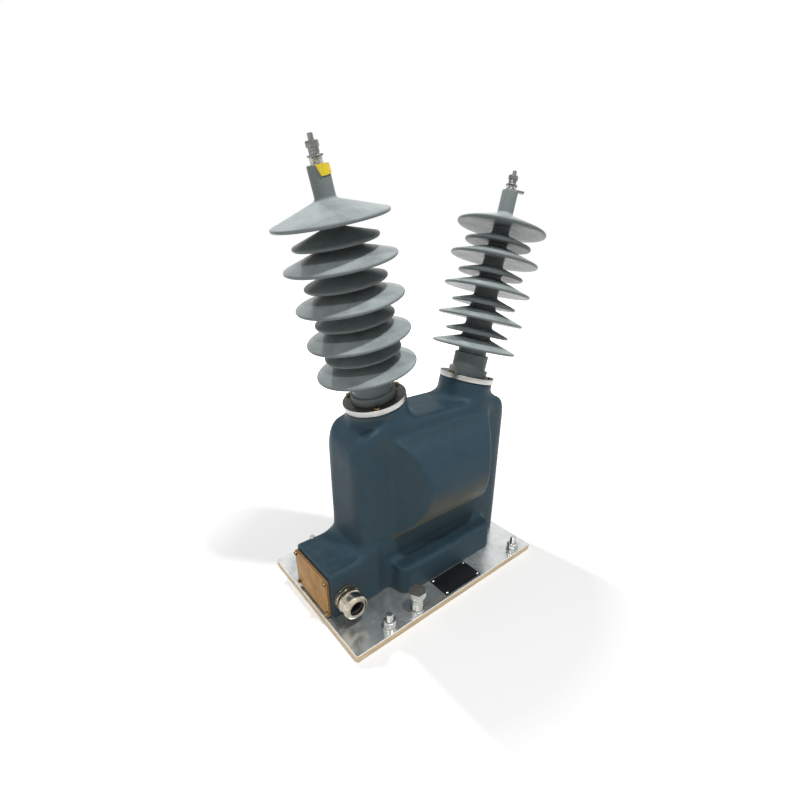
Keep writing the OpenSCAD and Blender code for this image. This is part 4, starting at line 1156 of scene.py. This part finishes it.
class TRANSFORMER_OT_base_plate(bpy.types.Operator):
    """Finish the base plate, its cut edges and the bare black plate on it"""

    bl_idname = "transformer.base_plate"
    bl_label = "Base plate"

    def execute(self, context):
        finishes = ["plate", "plate_edge", "plate_line"]
        plate = edged_copy("base_plate", "galvanised_plate", finishes, 0.9 * MM, 1)
        paint(plate, self.part_of_edge)
        stands_for(plate, "plate", "base_plate")
        dress("bare_plate", "bare_black_plate", "black", "black_plate", 0.25 * MM)
        rivet = turned([(r * MM, z * MM) for r, z in RIVET], 24, closed=False)
        place = Matrix.Translation(BARE_PLATE)
        rivets = grow("plate_rivets", bmesh_to_mesh(rivet, "rivet"), "corner_set", place, "bright_zinc",
                      ROUND_SHARP, **corners(*RIVET_SPANS))
        stands_for(rivets, "rivet", "bare_plate_rivets")
        return {"FINISHED"}

    def part_of_edge(self, face):
        """Zero on the plate's flat sides, one on its cut edge, painted brownish as a reflection of the floor,
        and two on the edge's broken corner, painted as a highlight.
        """
        rim_x, rim_y = 208 * MM, CAD_BOX[1][1] - 2 * MM
        at_rim = abs(face.center.y) > rim_y or abs(face.center.x) > rim_x
        if not at_rim or face.normal.z >= 0.95:
            return 0
        return 1 if face.normal.z < 0.3 else 2


class TRANSFORMER_OT_plate_studs(bpy.types.Operator):
    """Set the threaded plate studs with their washers and nuts"""

    bl_idname = "transformer.plate_studs"
    bl_label = "Plate studs"

    def execute(self, context):
        hardware = context.scene.transformer_hardware
        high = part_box("base_studs")[1].z
        rod = threaded_rod(hardware.stud_r, hardware.stud_pitch, 0, high, PLATE_TOP * MM)
        middle = Matrix.Translation((hardware.stud_x, 0, 0))
        studs = grow("plate_studs", bmesh_to_mesh(rod, "stud"), "corner_set", middle, "bright_zinc",
                     THREAD_SHARP, **corners(hardware.stud_span_x, hardware.stud_span_y))
        stands_for(studs, "zinc", "base_studs")
        for node, name in (("base_washers", "plate_washers"), ("base_spring_washers", "plate_split_washers"),
                           ("base_nuts", "plate_nuts")):
            dress(node, name, "bright_zinc", "zinc", hardware.edge)
        return {"FINISHED"}


class TRANSFORMER_OT_earth_terminal(bpy.types.Operator):
    """Dress the earth terminal at the plate's front edge"""

    bl_idname = "transformer.earth_terminal"
    bl_label = "Earth terminal"

    def execute(self, context):
        for node, name, finish, slot in (
                ("earth_stud", "earth_rod", "bright_zinc", "zinc"),
                ("earth_washer", "earth_flat_washer", "bright_zinc", "zinc"),
                ("earth_long_nut", "earth_stem_nut", "bright_zinc", "zinc"),
                ("earth_clamp_nut", "earth_head_nut", "dull_zinc", "nickel")):
            dress(node, name, finish, slot, 0.3 * MM, EARTH_SHARP)
        return {"FINISHED"}


class TRANSFORMER_OT_inner_pieces(bpy.types.Operator):
    """Give the CAD pieces inside the casting their finishes"""

    bl_idname = "transformer.inner_pieces"
    bl_label = "Inner pieces"

    def execute(self, context):
        inner = {
            "core": ["iron_core"], "copper": ["primary_winding", "secondary_winding"],
            "lead": ["secondary_leads"], "zinc": ["body_screws"],
            "brass": ["secondary_studs", "secondary_washers", "secondary_nuts", "body_inserts"],
            "rubber": ["bushing_gasket_left", "bushing_gasket_right"],
        }
        for finish, nodes in inner.items():
            for node in nodes:
                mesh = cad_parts[node].data
                mesh.materials.clear()
                mesh.materials.append(FINISHES[finish])
        return {"FINISHED"}


# Place and width of each lamp
LAMPS = {
    "key": ((-0.10, 1.80, 1.74), 0.14),
    "second": ((0.14, -0.84, 2.28), 0.14),
    "third": ((-1.30, -0.69, 1.92), 0.14),
    "fill": ((-1.9, -0.3, 0.8), 1.0),
}
FLOOR = Form(half=6.0, drop=0.0005, near=0.35, far=0.90, dim=0.14)
LAMPS_AIM = Vector((0, 0, 0.3))
WHITE = (1, 1, 1, 1)


class TRANSFORMER_OT_stage(bpy.types.Operator):
    """Set the floor, the soft light and the camera"""

    bl_idname = "transformer.stage"
    bl_label = "Stage"

    def execute(self, context):
        stage = context.scene.transformer_stage
        self.floor(stage)
        self.world(context.scene, stage)
        for name, (place, size) in LAMPS.items():
            self.lamp(name, place, size, getattr(stage, name))
        self.camera(context.scene)
        context.scene.view_settings.view_transform = "Standard"
        return {"FINISHED"}

    def floor(self, stage):
        """Pale floor, lifted to white away from the object, that keeps the object's shadow."""
        bm = bmesh.new()
        bmesh.ops.create_grid(bm, x_segments=1, y_segments=1, size=FLOOR.half)
        floor = link_new("floor", bmesh_to_mesh(bm, "floor"))
        floor.location.z = -FLOOR.drop
        material = new_finish("pale_floor", specular=0.0)
        tree = material.node_tree
        away = add_node(tree, "ShaderNodeVectorMath", {0: place_of(material)}, operation="LENGTH")
        lift = spread(away.outputs["Value"], FLOOR.near, FLOOR.far, FLOOR.dim, 1.0)
        set_inputs(tree.nodes["Principled BSDF"], {
            "Base Color": (*stage.floor, 1), "Roughness": 0.9, "Emission Color": WHITE,
            "Emission Strength": combine("MULTIPLY", lift, seen_share(tree))})
        floor.data.materials.append(material)

    def world(self, scene, stage):
        """White surroundings that light the object only as much as the sky setting says."""
        world = scene.world = bpy.data.worlds.new("studio")
        world.use_nodes = True
        tree = world.node_tree
        strength = spread(seen_share(tree), 0.0, 1.0, stage.sky, 1.0)
        set_inputs(tree.nodes["Background"], {"Color": WHITE, "Strength": strength})

    def lamp(self, name, place, size, watts):
        """Round lamp aimed at the object. The key lamp leaves no highlight."""
        light = bpy.data.lights.new(name, "AREA")
        light.shape, light.size, light.energy = "DISK", size, watts
        lamp = link_new(name, light)
        lamp.location = place
        lamp.rotation_euler = (LAMPS_AIM - Vector(place)).to_track_quat("-Z", "Y").to_euler()
        lamp.visible_glossy = name != "key"

    def camera(self, scene):
        """Camera fitted to the plate's corners and both bushings in the photograph."""
        focal, centre_x, centre_y = 426.086, 421.306, 451.329
        stand = Vector((-0.428274, -0.51744, 0.56742))
        turn, tilt, roll = (math.radians(a) for a in (-41.4674, 26.3676, 1.6152))
        back = Vector((math.sin(turn) * math.cos(tilt), -math.cos(turn) * math.cos(tilt), math.sin(tilt)))
        right = Vector((math.cos(turn), math.sin(turn), 0))
        up = back.cross(right)
        rolled_right = math.cos(roll) * right + math.sin(roll) * up
        rolled_up = math.cos(roll) * up - math.sin(roll) * right
        data = bpy.data.cameras.new("photo_camera")
        camera = link_new("photo_camera", data)
        place = Matrix((rolled_right, rolled_up, back)).transposed().to_4x4()
        place.translation = stand
        camera.matrix_world = place
        data.sensor_width = 36.0
        data.lens = focal / PHOTO_PIXELS * data.sensor_width
        data.shift_x = (PHOTO_PIXELS / 2 - centre_x) / PHOTO_PIXELS
        data.shift_y = (centre_y - PHOTO_PIXELS / 2) / PHOTO_PIXELS
        data.clip_start, data.clip_end = 0.01, 50.0
        scene.camera = camera


OPERATORS = (
    TRANSFORMER_OT_cast_body, TRANSFORMER_OT_bushings, TRANSFORMER_OT_flange_rings,
    TRANSFORMER_OT_terminals, TRANSFORMER_OT_terminal_box, TRANSFORMER_OT_cable_gland,
    TRANSFORMER_OT_base_plate, TRANSFORMER_OT_plate_studs, TRANSFORMER_OT_earth_terminal,
    TRANSFORMER_OT_inner_pieces, TRANSFORMER_OT_stage,
)
SETTINGS = {
    "transformer_casting": CastingSettings, "transformer_bushing": BushingSettings,
    "transformer_hardware": HardwareSettings, "transformer_finish": FinishSettings,
    "transformer_stage": StageSettings,
}


class TRANSFORMER_PT_panel(bpy.types.Panel):
    """Lists the settings and the operators that build the transformer"""

    bl_label = "Outdoor instrument transformer"
    bl_idname = "TRANSFORMER_PT_panel"
    bl_space_type = "VIEW_3D"
    bl_region_type = "UI"
    bl_category = "Transformer"

    def draw(self, context):
        for key, group in SETTINGS.items():
            settings = getattr(context.scene, key)
            for name in group.__annotations__:
                self.layout.prop(settings, name)
        for operator in OPERATORS:
            self.layout.operator(operator.bl_idname)


def register():
    for cls in (*SETTINGS.values(), *OPERATORS, TRANSFORMER_PT_panel):
        bpy.utils.register_class(cls)
    for key, group in SETTINGS.items():
        setattr(bpy.types.Scene, key, bpy.props.PointerProperty(type=group))


def unregister():
    for key in SETTINGS:
        delattr(bpy.types.Scene, key)
    for cls in (TRANSFORMER_PT_panel, *reversed(OPERATORS), *reversed(list(SETTINGS.values()))):
        bpy.utils.unregister_class(cls)


def main():
    register()
    make_finishes(bpy.context.scene)
    make_trees()
    bpy.ops.transformer.cast_body()
    bpy.ops.transformer.bushings()
    bpy.ops.transformer.flange_rings()
    bpy.ops.transformer.terminals()
    bpy.ops.transformer.terminal_box()
    bpy.ops.transformer.cable_gland()
    bpy.ops.transformer.base_plate()
    bpy.ops.transformer.plate_studs()
    bpy.ops.transformer.earth_terminal()
    bpy.ops.transformer.inner_pieces()
    bpy.ops.transformer.stage()


if __name__ == "__main__":
    main()
